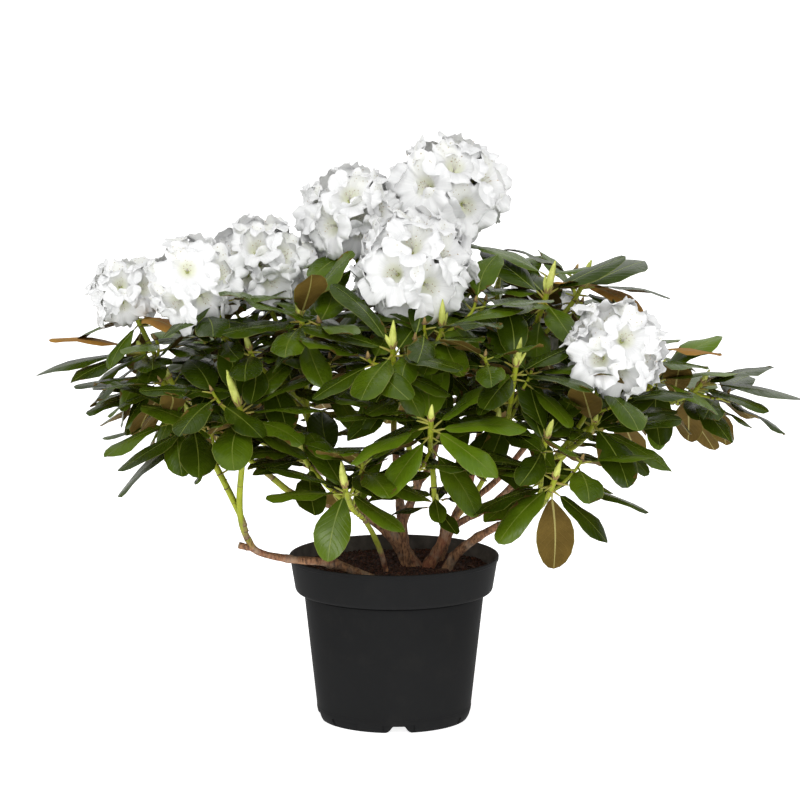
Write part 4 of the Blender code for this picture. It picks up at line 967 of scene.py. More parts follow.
def repeat(name, carrier, shape, finish, source, spacing=0.01, smallest=1.0, largest=1.0):
    # carrier holds the points, surface or ways; both helpers go once the plain mesh is made
    tree, sockets = repeatTree(name + "Rule", source)
    modifier = carrier.modifiers.new("repeat", "NODES")
    modifier.node_group = tree
    for label, value in (("Shape", shape), ("Finish", finish), ("Spacing", spacing),
                         ("Smallest", smallest), ("Largest", largest)):
        modifier[sockets[label]] = value
    graph = bpy.context.evaluated_depsgraph_get()
    mesh = bpy.data.meshes.new_from_object(carrier.evaluated_get(graph), depsgraph=graph)
    carrier.modifiers.remove(modifier)
    mesh.name = name
    for helper in (carrier, shape):
        bpy.data.objects.remove(helper)
    mesh.shade_smooth()
    tellSize(name, mesh)
    return newObject(name, mesh)


def helperMesh(name, points, edges=(), faces=(), facings=None, sizes=None):
    mesh = bpy.data.meshes.new(name)
    mesh.from_pydata([tuple(p) for p in points], edges, faces)
    if facings:
        mesh.attributes.new("facing", "FLOAT_VECTOR", "POINT").data.foreach_set(
            "vector", [value for facing in facings for value in facing])
    if sizes:
        mesh.attributes.new("size", "FLOAT", "POINT").data.foreach_set("value", sizes)
    return newObject(name, mesh)


# Pot
potShape = {
    "height": 0.178, "rim": 0.1125, "bandFoot": 0.1057, "bandDepth": 0.036, "ledgeDrop": 0.039,
    "bodyTop": 0.0965, "bodyFoot": 0.0832, "bodyFootHeight": 0.017, "base": 0.0790, "wall": 0.0018,
    "floor": 0.003, "raise": 0.0085, "ringInner": 0.062, "disc": 0.020, "edge": 0.0015, "segments": 144,
    "lip": 0.0011, "lipHigh": 0.0042, "bandRound": 0.0042, "footRound": 0.0018, "bodyRound": 0.004,
    "rimRound": 0.0006, "sharpAngle": math.radians(32),
    # out from the base and up: the foot's bulge to the body, and the fine mould line that runs round it
    "foot": ((0.0012, 0.0030), (0.0028, 0.0064), (0.0036, 0.0100)),
    "mouldLine": 0.0135, "mouldHalf": 0.0007, "mouldOut": 0.0041, "mouldDepth": 0.00018, "mouldStep": 0.0002,
    # out from the body's top and up from the ledge: the narrow groove that keeps a dark line there
    "groove": ((-0.0001, -0.0026), (-0.0003, -0.0021), (-0.0011, -0.0016), (-0.0011, -0.0004), (0.0002, 0.0)),
    "notches": 8, "notchTurn": math.radians(3.7), "notchReach": 0.006, "panelHalf": math.radians(12.3),
    "panelSteps": 12, "panelHigh": 0.0088, "panelLow": -0.001, "panelDeep": 0.0015,
    # half the notch's outline: out from its middle and up
    "notchHalf": ((0.0170, -0.002), (0.0142, 0.0), (0.0114, 0.0012), (0.0092, 0.0032), (0.0078, 0.0056),
                  (0.0068, 0.0070), (0.0056, 0.0076)),
    "drains": 4, "drain": 0.004, "drainCircle": 0.045, "drainHigh": 0.016, "drainSides": 24,
}


def rounded(before, at, after, radius, steps=5):
    # rounds one corner of a profile
    at, before, after = Vector(at), Vector(before), Vector(after)
    a = at + (before - at).normalized() * min(radius, (before - at).length / 2)
    c = at + (after - at).normalized() * min(radius, (after - at).length / 2)
    shares = [i / steps for i in range(steps + 1)]
    return [tuple((1 - t) ** 2 * a + 2 * t * (1 - t) * at + t * t * c) for t in shares]


def turned(name, profile, segments):
    shape = bmesh.new()
    ring = [shape.verts.new((radius, 0.0, height)) for radius, height in profile]
    edges = [shape.edges.new(pair) for pair in zip(ring, ring[1:])]
    bmesh.ops.spin(shape, geom=ring + edges, cent=(0, 0, 0), axis=(0, 0, 1), angle=math.tau, steps=segments,
                   use_merge=True)
    bmesh.ops.remove_doubles(shape, verts=shape.verts[:], dist=1e-6)
    bmesh.ops.recalc_face_normals(shape, faces=shape.faces[:])
    mesh = bpy.data.meshes.new(name)
    shape.to_mesh(mesh)
    shape.free()
    return newObject(name, mesh)


def cutAway(piece, tools):
    modifier = piece.modifiers.new("cut", "BOOLEAN")
    modifier.operation, modifier.operand_type, modifier.solver = "DIFFERENCE", "COLLECTION", "EXACT"
    modifier.collection = tools
    graph = bpy.context.evaluated_depsgraph_get()
    mesh = bpy.data.meshes.new_from_object(piece.evaluated_get(graph), depsgraph=graph)
    piece.modifiers.remove(modifier)
    # the cut lists its points and faces in another order each run, so both are sorted
    order = sorted(range(len(mesh.vertices)), key=lambda index: tuple(mesh.vertices[index].co))
    places = {old: new for new, old in enumerate(order)}
    faces = []
    for face in mesh.polygons:
        corners = [places[index] for index in face.vertices]
        first = corners.index(min(corners))
        faces.append(corners[first:] + corners[:first])
    points = [tuple(mesh.vertices[index].co) for index in order]
    mesh.clear_geometry()
    mesh.from_pydata(points, [], sorted(faces))
    piece.data = mesh
    for tool in list(tools.objects):
        bpy.data.objects.remove(tool)
    bpy.data.collections.remove(tools)


def potProfile():
    # from the middle underneath, up the outer wall, over the rim and down inside
    p = potShape
    base, body, rim, high, wall = p["base"], p["bodyTop"], p["rim"], p["height"], p["wall"]
    ledge, floorTop = high - p["ledgeDrop"], p["raise"] + p["floor"]
    foot = [(base + out, up) for out, up in p["foot"]]
    line, half, at = p["mouldLine"], p["mouldHalf"], base + p["mouldOut"]
    profile = [(0.0, 0.0), (p["disc"], 0.0), (p["disc"] + p["edge"], p["raise"]),
               (p["ringInner"] - p["edge"], p["raise"]), (p["ringInner"], 0.0)]
    profile += rounded((p["ringInner"], 0.0), (base - 0.0004, 0.0), foot[1], p["footRound"]) + foot
    profile += [(at, line - half), (at - p["mouldDepth"], line), (at + p["mouldStep"], line + half)]
    profile += rounded((at, line), (p["bodyFoot"], p["bodyFootHeight"]), (body, ledge), p["bodyRound"])
    profile += [(body + out, ledge + up) for out, up in p["groove"]]
    band = (p["bandFoot"] - 0.0003, ledge + 0.0004)
    profile += rounded((body, ledge), band, (rim, high), p["bandRound"], 7)
    # a narrow lip stands proud under the rim
    slope, lipFoot = (rim - p["bandFoot"]) / p["bandDepth"], high - p["lipHigh"]
    profile += [(rim - slope * 0.0048 - 0.0006, lipFoot - 0.0008), (rim - 0.0003, lipFoot)]
    profile += rounded((rim - 0.0002, lipFoot), (rim, high), (rim - wall, high), p["lip"])
    profile += rounded((rim, high), (rim - wall, high), (rim - wall - 0.002, high - 0.01), p["rimRound"], 3)
    profile += [(p["bandFoot"] - wall, high - p["bandDepth"] + wall), (body - wall, ledge + wall),
                (p["bodyFoot"] - wall, p["bodyFootHeight"]), (base - wall, floorTop), (0.0, floorTop)]
    return foot, profile


def notchTools(middle, foot):
    # a shallow panel in the wall round a notch, and the notch itself
    p = potShape
    outline = list(p["notchHalf"]) + [(-side, up) for side, up in reversed(p["notchHalf"])]
    outer, deep, steps = p["bodyFoot"] + p["notchReach"], p["panelDeep"], p["panelSteps"]
    loop = [(p["base"] - deep, p["panelLow"])] + [(radius - deep, up) for radius, up in foot[:2]]
    loop += [(foot[1][0] + 0.0007 - deep, p["panelHigh"]), (outer, p["panelHigh"]), (outer, p["panelLow"])]
    rim = []
    for step in range(steps + 1):
        angle = middle + p["panelHalf"] * (2 * step / steps - 1)
        rim += [(radius * math.cos(angle), radius * math.sin(angle), up) for radius, up in loop]
    turn = Matrix.Rotation(middle, 3, "Z")
    points = [turn @ Vector((out, side, up)) for out in (p["ringInner"] - p["notchReach"], outer)
              for side, up in outline]
    tools = (("panel", rim, steps + 1, len(loop)), ("notch", points, 2, len(outline)))
    for name, shape, rows, count in tools:
        last = (rows - 1) * count
        ends = [tuple(range(count - 1, -1, -1)), tuple(range(last, last + count))]
        yield name, shape, ends + grid(rows, count)


def makePot():
    p = potShape
    foot, profile = potProfile()
    pot = turned("potShell", profile, p["segments"])
    tools = bpy.data.collections.new("pot tools")
    bpy.context.scene.collection.children.link(tools)
    shapes = []
    for index in range(p["notches"]):
        # every other notch has only its panel
        middle = p["notchTurn"] - math.pi / 2 + index * math.tau / p["notches"]
        shapes += list(notchTools(middle, foot))[:2 - index % 2]
    for index in range(p["drains"]):
        turn = p["notchTurn"] + math.pi / p["notches"] + index * math.tau / p["drains"]
        middle = Vector((p["drainCircle"] * math.cos(turn), p["drainCircle"] * math.sin(turn), 0.0))
        shapes.append(("drain", *tube([middle, middle + Vector((0, 0, p["drainHigh"]))], [p["drain"]] * 2,
                                      p["drainSides"])))
    for name, points, faces in shapes:
        tool = helperMesh(name, points, faces=faces)
        solid = bmesh.new()
        solid.from_mesh(tool.data)
        bmesh.ops.recalc_face_normals(solid, faces=solid.faces[:])
        solid.to_mesh(tool.data)
        solid.free()
        bpy.context.scene.collection.objects.unlink(tool)
        tools.objects.link(tool)
    cutAway(pot, tools)
    plastic = Finish("potPlastic", IOR=1.5, Specular_IOR_Level=0.012)
    grain, cloud = plastic.spots(900.0, 2.0), plastic.spots(14.0, 4.0)
    flow = plastic.spots(60.0, where=plastic.stretched(0.06))
    dust = plastic.grade(plastic.spots(40.0, 6.0), 0.52, 0.80)
    colour = plastic.blend(cloud, (0.0140, 0.0142, 0.0146), (0.0180, 0.0183, 0.0188))
    colour = plastic.blend(dust * 0.20, colour, (0.034, 0.032, 0.029))
    finish = plastic.wear(colour, 0.44 + 0.14 * cloud + 0.10 * dust, grain * 0.5 + flow * 0.5, 0.00025, 0.45)
    # painted light: the inner wall above the soil gets a lighter grey base where it lies in shade
    inside = Finish("potInside", IOR=1.5, Specular_IOR_Level=0.06)
    paintedLightCloud = inside.spots(70.0, 5.0)
    tone = inside.blend(inside.grade(paintedLightCloud, 0.35, 0.70), (0.085, 0.082, 0.077), (0.160, 0.152, 0.142))
    pot.data.materials.clear()
    pot.data.materials.append(finish)
    pot.data.materials.append(inside.wear(tone, 0.66 + 0.1 * paintedLightCloud, inside.spots(600.0), 0.0003, 0.5))
    # inward faces above the ledge take the lighter finish, painted light on the shaded inner wall
    for face in pot.data.polygons:
        inward = face.center.x * face.normal.x + face.center.y * face.normal.y < 0
        face.material_index = int(inward and face.center.z > p["height"] - p["ledgeDrop"])
    pot.data.shade_smooth()
    pot.data.set_sharp_from_angle(angle=p["sharpAngle"])
    tellSize("potShell", pot.data)
    dress(pot, ["pot"])


makePot()


# Soil
soilShape = {
    "flat": 0.085, "drop": 0.003, "around": 120, "rings": 34, "crowding": 0.92, "sunk": 0.0012,
    "lumps": 0.00192, "lumpScale": 55, "grit": 0.0013, "gritScale": 420,
    "heap": 0.0022, "heapSpread": 0.00028,
    # how far inside the pot's wall the bed stays, and how high, from the floor to the band
    "clear": (("base", 0.0012, 0.0086), ("bodyFoot", 0.0008, 0.0175), ("bodyTop", 0.0008, 0.1414),
              ("bandFoot", 0.0010, 0.1446)),
    "edgeClear": 0.0008,
    "crumbSpacing": 0.0036, "crumb": 0.0021, "crumbSizes": (0.45, 1.15), "crumbForm": (0.72, 1.12),
    "chips": 110, "chipReach": 0.100, "chipHalf": (0.003, 0.0075), "chipThick": (0.0004, 0.0011),
    "chipTilt": 0.22, "chipLift": 0.0012, "chipArch": 0.0006,
}


def makeSoil():
    s, p = soilShape, potShape
    inner = [(p[part] - p["wall"] - clear, high) for part, clear, high in s["clear"]]
    bandHigh = soilTop - s["drop"] - (p["height"] - p["bandDepth"])
    edge = (p["bandFoot"] + bandHigh / p["bandDepth"] * (p["rim"] - p["bandFoot"]) - p["wall"]
            - s["edgeClear"])
    feet = [points[0] for carrier, points, _ in limbs.values() if carrier == "soil"]

    def height(x, y):
        sink = s["drop"] * max(0.0, (math.hypot(x, y) - s["flat"]) / (edge - s["flat"])) ** 1.5
        lump = noise.fractal(Vector((x, y, 0.3)) * s["lumpScale"], 0.9, 2.1, 4) * s["lumps"]
        grit = noise.noise(Vector((x, y, 1.7)) * s["gritScale"]) * s["grit"]
        # raked up a little round each stem's foot
        heap = max(math.exp(-((x - foot[0]) ** 2 + (y - foot[1]) ** 2) / s["heapSpread"]) for foot in feet)
        return soilTop - s["sunk"] - sink + lump + grit + s["heap"] * heap

    count, points = s["around"], []
    for radius, z in inner:
        points += [(radius * math.cos(a), radius * math.sin(a), z) for a in
                   [math.tau * i / count for i in range(count)]]
    for ring in range(s["rings"]):
        radius = edge * (1 - ring / s["rings"]) ** s["crowding"]
        for i in range(count):
            a = math.tau * i / count + 0.5 * ring * math.tau / count
            x, y = radius * math.cos(a), radius * math.sin(a)
            points.append((x, y, height(x, y)))
    rows = len(inner) + s["rings"]
    faces = grid(rows, count)
    points.append((0.0, 0.0, height(0.0, 0.0)))
    points.append((0.0, 0.0, inner[0][1]))
    last = (rows - 1) * count
    faces += [(last + i, last + (i + 1) % count, len(points) - 2) for i in range(count)]
    faces += [((i + 1) % count, i, len(points) - 1) for i in range(count)]
    peat = Finish("peat")
    fine, coarse = peat.spots(900.0, 5.0), peat.spots(170.0, 6.0)
    colour = peat.blend(peat.grade(coarse, 0.35, 0.65), (0.0110, 0.0042, 0.0030), (0.064, 0.0230, 0.0140))
    colour = peat.blend(peat.grade(fine, 0.62, 0.72), colour, (0.120, 0.052, 0.030))
    finish = peat.wear(colour, 0.86 + 0.12 * coarse, fine * 0.6 + coarse, 0.0012, 0.9)
    pile = Pile()
    pile.add(points, faces)
    dress(pile.piece("soilBed", [finish]), ["soil"])
    # crumbs of peat lie all over the top
    under = len(points) - 1
    top = helperMesh("top", points, faces=[face for face in faces[len(inner) * count:] if under not in face])
    rng = random.Random("crumb")
    ball = bmesh.new()
    bmesh.ops.create_icosphere(ball, subdivisions=1, radius=s["crumb"])
    for point in ball.verts:
        point.co *= rng.uniform(*s["crumbForm"])
    crumb = newObject("crumb", bpy.data.meshes.new("crumb"))
    ball.to_mesh(crumb.data)
    ball.free()
    lump = Finish("peatCrumb")
    shade = lump.grade(lump.spots(210.0), 0.34, 0.66)
    tone = lump.blend(shade, (0.0100, 0.0040, 0.0030), (0.112, 0.0410, 0.0240))
    crumbFinish = lump.wear(tone, 0.90, lump.spots(1400.0), 0.0005, 0.8)
    crumbs = repeat("soilCrumbs", top, crumb, crumbFinish, "surface", s["crumbSpacing"], *s["crumbSizes"])
    dress(crumbs, ["soil"])
    # slivers of bark and fibre among them
    chips = Pile()
    for index in range(s["chips"]):
        turn, out = rng.uniform(0, math.tau), s["chipReach"] * math.sqrt(rng.random())
        x, y = out * math.cos(turn), out * math.sin(turn)
        tilt = rng.uniform(-s["chipTilt"], s["chipTilt"])
        along = Vector((math.cos(turn * 7), math.sin(turn * 7), tilt)).normalized()
        half = rng.uniform(*s["chipHalf"])
        middle = Vector((x, y, height(x, y) + s["chipLift"]))
        thin = rng.uniform(*s["chipThick"])
        way = [middle - half * along, middle + Vector((0, 0, s["chipArch"])), middle + half * along]
        chips.add(*tube(way, [thin * 0.5, thin, thin * 0.4], 5), slot=index % 2)
    finishes = [mottled("fibre", 300.0, (0.060, 0.028, 0.014), (0.15, 0.080, 0.042), 0.82),
                mottled("barkSliver", 300.0, (0.030, 0.014, 0.009), (0.085, 0.040, 0.024), 0.82)]
    dress(chips.piece("soilFibres", finishes), ["soil"])


makeSoil()


# Trunk and boughs, all in one bark
barkShape = {
    "sides": 18, "perSegment": 12, "ridges": 7, "ridgeDepth": 0.075, "ridgeTwist": 60, "ridgeWander": 3.0,
    "wanderScale": 90, "knots": 0.13, "knotScale": 130, "fine": 0.045, "fineScale": 700,
    "collar": 0.16, "collarReach": 0.006, "tipSwelling": 0.10, "tipReach": 0.004, "footReach": 0.05,
    "higherUp": 0.35, "stubRings": 8, "stubSides": 14, "stubCollar": 6, "stubRough": 0.10,
    "stubScale": 500,
    # swellings left by pruned shoots: where, how proud, how long
    "knuckles": (((-0.064, -0.067, 0.182), 0.0028, 0.0060), ((-0.112, -0.078, 0.189), 0.0009, 0.0040),
                 ((0.090, -0.034, 0.204), 0.0010, 0.0045), ((-0.080, -0.034, 0.241), 0.0010, 0.0040)),
    # the share of a bough's length at which its bark is still green
    "greenFrom": {"bough_front_left": 0.38, "bough_left_low": 0.90, "bough_mid": 0.45, "bough_front": 0.40,
                  "bough_front_right": 0.45, "bough_crown": 0.72, "bough_right_high": 0.75,
                  "bough_left_inner": 0.55, "bough_left": 0.70, "bough_right_far": 0.60},
}


def makeBark():
    b = barkShape
    pile = Pile()
    for name, (carrier, points, (root, tip)) in limbs.items():
        way = smoothWay(points, b["perSegment"])
        if carrier != "soil":
            # begins inside the limb that carries it
            way = [way[0] - (way[1] - way[0]).normalized() * min(0.5 * root, 0.002)] + way
        radii, lengths = [], walks(way)
        for place, walked in zip(way, lengths):
            flare = flares.get(name, 0.0) * math.exp(-walked / flareReach)
            # a collar where it leaves its carrier, a slight swelling at its tip
            collar = b["collar"] * root * math.exp(-walked / b["collarReach"]) if carrier != "soil" else 0.0
            swelling = b["tipSwelling"] * tip * math.exp(-(lengths[-1] - walked) / b["tipReach"])
            knuckles = sum(proud * math.exp(-((place - Vector(at)).length / long) ** 2)
                           for at, proud, long in b["knuckles"])
            radii.append(between(root, tip, walked / lengths[-1]) + flare + collar + swelling + knuckles)
        seed = Vector([random.Random("bark " + name).uniform(0, 50) for _ in range(3)])

        def relief(place, out, angle, walked, radius):
            wander = b["ridgeWander"] * noise.noise(place * b["wanderScale"] + seed)
            ridge = math.sin(b["ridges"] * angle + wander + walked * b["ridgeTwist"])
            knots = noise.noise(place * b["knotScale"] + seed)
            rough = noise.noise((place + out * radius) * b["fineScale"] + seed)
            near = math.exp(-walked / b["footReach"]) if carrier == "soil" else b["higherUp"]
            return radius * (1 + b["ridgeDepth"] * ridge * (0.4 + near) + b["knots"] * knots * (0.5 + near)
                             + b["fine"] * rough)

        shape = tube(way, radii, b["sides"], levelFoot=carrier == "soil", relief=relief)
        # the map's first value passes 0.5 where the bark turns green
        rows, start = len(way), b["greenFrom"].get(name, 2.0)
        uvs = [(max(0.0, i / (rows - 1) - start + 0.5), side / b["sides"])
               for i in range(rows) for side in range(b["sides"])]
        pile.add(*shape, uvs=uvs)
    # the pruned stub with its pale cut end
    start, end, rings = Vector(stub["root"]), Vector(stub["tip"]), b["stubRings"]
    way = [start.lerp(end, i / rings) for i in range(rings + 1)]
    radii = [stub["radius"] * (1.10 + 0.16 * math.sin(1.9 * i) + 0.22 * (i == b["stubCollar"]))
             * (1 - 0.012 * i) for i in range(rings + 1)]

    def uneven(place, out, angle, walked, radius):
        return radius * (1 + b["stubRough"] * noise.noise(place * b["stubScale"] + out * 2))

    points, faces = tube(way, radii, b["stubSides"], relief=uneven)
    pile.add(points, faces, slot=[0] * (len(faces) - 1) + [1], uvs=[(0.40, 0.5)] * len(points))
    bark = Finish("bark")
    tall = bark.stretched(0.30)
    streak, patch = bark.spots(420.0, 5.0, 0.62, tall), bark.spots(60.0, 4.0, 0.5)
    grain, rust = bark.spots(1600.0, 3.0, 0.6, tall), bark.spots(34.0, 3.0, 0.5)
    colour = bark.blend(bark.grade(streak, 0.36, 0.62), (0.052, 0.023, 0.012), (0.370, 0.190, 0.092))
    colour = bark.blend(bark.grade(rust, 0.52, 0.66) * 0.50, colour, (0.300, 0.085, 0.042))
    colour = bark.blend(bark.grade(patch, 0.50, 0.70) * 0.60, colour, (0.420, 0.330, 0.240))
    colour = bark.blend(bark.grade(grain, 0.60, 0.75) * 0.6, colour, (0.030, 0.014, 0.009))
    green = bark.surface()[1]
    young = bark.blend(bark.grade(patch, 0.3, 0.7), (0.200, 0.240, 0.010), (0.330, 0.370, 0.020))
    colour = bark.blend(bark.grade(green + 0.30 * (patch - 0.5), 0.44, 0.62) * 0.92, colour, young)
    barkFinish = bark.wear(colour, 0.78 + 0.16 * streak, streak + grain * 0.4, 0.0009, 0.9)
    cutFinish = mottled("cutWood", 500.0, (0.20, 0.13, 0.07), (0.36, 0.26, 0.15), 0.8, 0.5)
    dress(pile.piece("bark", [barkFinish, cutFinish], 75), limbs)


makeBark()


# Leaves, each by its own form, in three greens and a tan
leafLook = {
    "petiole": 0.14, "halfWidth": 0.206, "rib": 0.00055, "thick": 0.0007, "ribLow": 0.0005, "groove": 0.0006,
    "quilt": 0.0013, "wave": 0.0022, "waves": (0.5, 1.4), "beats": (1.1, 2.1), "beatLag": 1.9,
    "aside": 0.05, "folds": (0.02, 0.20), "foldShare": 0.6, "margin": 0.10, "curl": 0.035,
    "widths": (0.92, 1.06), "halfway": 0.55, "lowRibWide": 1.6, "petioleRadius": 0.00160,
    "petioleTaper": (1.0, 0.86, 0.80, 0.76, 0.45), "petioleSides": 5, "petioleLow": 0.0004,
    "petioleRun": 0.012, "deepShare": 0.46, "greenShare": 0.42, "sameTint": 0.72,
    "tanPlaces": ((-0.324, -0.05, 0.420), (-0.234, -0.10, 0.454), (-0.100, -0.13, 0.438),
                  (0.236, -0.05, 0.456), (0.332, -0.02, 0.405), (0.190, 0.02, 0.462), (0.060, 0.20, 0.330),
                  (-0.190, 0.10, 0.350)),
    # a leaf that shows its brown underside, by its upper side's direction
    "turned": {("right_front", "J", "shown 4"): (0.0, 0.85, 0.50)},
    # places along the blade and its width there
    "outline": ((0.06, 0.25), (0.17, 0.54), (0.32, 0.84), (0.48, 0.985), (0.63, 1.0), (0.78, 0.86),
                (0.90, 0.60), (0.97, 0.31)),
    # the finish of each strip round the blade: face, midrib, underside and the rib below
    "strips": (0, 0, 1, 0, 0, 2, 3, 2),
}


def bladeOf(form, rng):
    look = leafLook
    place, length = leafPlacer(*form)[0], form[3]
    aside, fold = rng.uniform(-look["aside"], look["aside"]) * length, rng.uniform(*look["folds"])
    phase, beats = rng.uniform(0, math.tau), rng.uniform(*look["beats"])
    wave, curl = look["wave"] * rng.uniform(*look["waves"]), rng.uniform(0.0, look["curl"]) * length
    width = look["halfWidth"] * length * rng.uniform(*look["widths"])
    points, uvs, low = [], [], -look["petioleLow"]

    def put(t, c, lift, half=0.0):
        share = look["petiole"] + t * (1 - look["petiole"])
        points.append(place(share, c * half + aside * math.sin(math.pi * t), lift - curl * t ** 4))
        uvs.append((0.5 + 0.5 * c, t))

    put(0.0, 0.0, 0.0)
    for t, part in look["outline"]:
        half = width * part
        rib = look["rib"] * (1.35 - 0.9 * t) / half
        # from edge to edge over the top, then back along the rib below
        side, below = look["halfway"], look["lowRibWide"] * rib
        around = ((-1, 0), (-side, 0), (-rib, 0), (rib, 0), (side, 0), (1, 0), (below, 1), (-below, 1))
        for c, under in around:
            lift = -fold * abs(c) * half * look["foldShare"] - look["margin"] * half * abs(c) ** 3
            lift += look["quilt"] * math.sin(math.pi * min(1.0, abs(c) * 0.9)) * math.sin(math.pi * t)
            lag = look["beatLag"] if c > 0 else 0.0
            lift += wave * c * c * math.sin(beats * math.tau * t + phase + lag)
            lift -= look["groove"] if abs(c) <= rib * 1.01 else 0.0
            put(t, c, lift - (look["thick"] + look["ribLow"]) * under, half)
    put(1.0, 0.0, low)
    rows, strips = len(look["outline"]), look["strips"]
    count = len(strips)
    faces = [tuple(1 + i for i in face) for face in grid(rows, count)]
    slots = list(strips) * (rows - 1)
    tip, last = len(points) - 1, 1 + (rows - 1) * count
    for j, strip in enumerate(strips):
        k = (j + 1) % count
        faces += [(0, 1 + k, 1 + j), (last + j, last + k, tip)]
        slots += [strip] * 2
    # the stalk runs a little way under the blade
    stalk = [place(look["petiole"] * i / 4, 0.0, low if i else 0.0) for i in range(4)]
    stalk.append(place(look["petiole"] + look["petioleRun"], 0.0, low))
    return points, faces, slots, uvs, stalk


def leafFinish(name, dark, light, rough, vein=0.5):
    made = Finish(name, IOR=1.45, Specular_IOR_Level=0.30 if rough < 0.4 else 0.06)
    _, across, along = made.surface()
    off = made.node("ShaderNodeMath", {"operation": "ABSOLUTE"}, {0: across - 0.5})
    stripe = made.node("ShaderNodeMath", {"operation": "SINE"}, {0: (along * 9.5 - off * 5.0) * math.tau})
    veins = made.grade(stripe, 0.72, 1.0)
    cloud, fine = made.spots(26.0, 4.0), made.spots(420.0, 4.0)
    colour = made.blend(made.grade(cloud, 0.32, 0.68), dark, light)
    colour = made.blend(veins * 0.12 * vein, colour, tuple(min(1.0, 1.5 * c + 0.01) for c in light))
    colour = made.blend(made.grade(fine, 0.56, 0.78) * 0.30, colour, tuple(0.55 * c for c in dark))
    margin = made.grade(off, 0.478, 0.5)
    colour = made.blend(margin * 0.75, colour, (0.25, 0.27, 0.055))
    quilt = (1.0 - veins) * 0.85 + made.spots(110.0, 2.0) * 0.15
    return made.wear(colour, rough + 0.14 * cloud, quilt, 0.0006, 0.36 * vein + 0.14)


def plainGreen(name, dark, light, rough, scale=60.0, depth=0.0003):
    made = Finish(name, IOR=1.45)
    cloud, fine = made.spots(scale, 4.0), made.spots(scale * 14)
    colour = made.blend(made.grade(cloud, 0.3, 0.7), dark, light)
    return made.wear(colour, rough + 0.12 * cloud, fine, depth, 0.5)


def makeLeaves():
    look = leafLook
    rib = plainGreen("midrib", (0.120, 0.170, 0.018), (0.210, 0.250, 0.034), 0.40)
    under = leafFinish("leafUnder", (0.072, 0.046, 0.009), (0.145, 0.094, 0.021), 0.60, 1.0)
    lowRib = plainGreen("lowerMidrib", (0.250, 0.210, 0.050), (0.330, 0.290, 0.080), 0.50)
    tints = {
        "leavesDeep": leafFinish("leafDeep", (0.0195, 0.0368, 0.0010), (0.0440, 0.0750, 0.0020), 0.19),
        "leavesGreen": leafFinish("leafGreen", (0.0440, 0.0800, 0.0019), (0.0860, 0.1400, 0.0040), 0.20),
        "leavesFresh": leafFinish("leafFresh", (0.0760, 0.1400, 0.0038), (0.1300, 0.2080, 0.0074), 0.22),
        "leavesTan": leafFinish("leafTan", (0.290, 0.135, 0.026), (0.430, 0.235, 0.050), 0.50),
    }
    piles = {name: Pile() for name in tints}
    stalks = Pile()
    # the few yellowed old leaves are those nearest to their places in the photograph
    middles = [(leafPlacer(*form)[0](0.55, 0.0, 0.0), (mass, name, key)) for mass, name, shoot in allShoots
               for key, form in shoot["leaves"]]

    def away(leaf, x, y, z):
        return math.hypot(leaf[0].x - x, leaf[0].z - z) + 0.25 * abs(leaf[0].y - y)

    tanLeaves = {min(middles, key=lambda leaf: away(leaf, *place))[1] for place in look["tanPlaces"]}
    for mass, name, shoot in allShoots:
        draw = random.Random("tint " + mass + name).random()
        green = draw < look["deepShare"] + look["greenShare"] or "side" in shoot
        own = "leavesDeep" if draw < look["deepShare"] else "leavesGreen" if green else "leavesFresh"
        for key, form in shoot["leaves"]:
            if (mass, name, key) in look["turned"]:
                form = (*form[:2], Vector(look["turned"][mass, name, key]), *form[3:5], 0.0)
            shaper = random.Random("form " + mass + name + key)
            *shape, stalk = bladeOf(form, shaper)
            tint = own if shaper.random() < look["sameTint"] else shaper.choice(("leavesDeep", "leavesGreen"))
            if "old" in key and own == "leavesFresh":
                tint = "leavesGreen"
            if (mass, name, key) in tanLeaves:
                tint = "leavesTan"
            piles[tint].add(*shape)
            thick = look["petioleRadius"] * form[3] / leafRule["length"]
            sides, taper = look["petioleSides"], look["petioleTaper"]
            uvs = [(i / (len(taper) - 1), side / sides) for i in range(len(taper)) for side in range(sides)]
            stalks.add(*tube(stalk, [thick * part for part in taper], sides), uvs=uvs)
    for name, pile in piles.items():
        dress(pile.piece(name, [tints[name], rib, under, lowRib], 80), foliageNodes)
    made = Finish("petiole", IOR=1.45)
    along = made.surface()[1]
    cloud = made.spots(45.0)
    colour = made.blend(made.grade(cloud, 0.35, 0.65), (0.340, 0.220, 0.040), (0.300, 0.330, 0.040))
    colour = made.blend(along * 0.6, colour, (0.290, 0.340, 0.050))
    finish = made.wear(colour, 0.42 + 0.1 * cloud, made.spots(700.0), 0.0002, 0.5)
    dress(stalks.piece("petioles", [finish], 80), foliageNodes)


makeLeaves()


# Shoots, the rings where bud scales fell, and the buds
shootLook = {
    "sides": 9, "ringSpacing": 0.0165, "ringRadius": 0.00335, "ringHigh": 0.0011, "ringEdge": 0.92,
    "ringSizes": (0.86, 1.04), "coarse": 0.07, "coarseScale": 160, "fine": 0.04, "fineScale": 60,
}


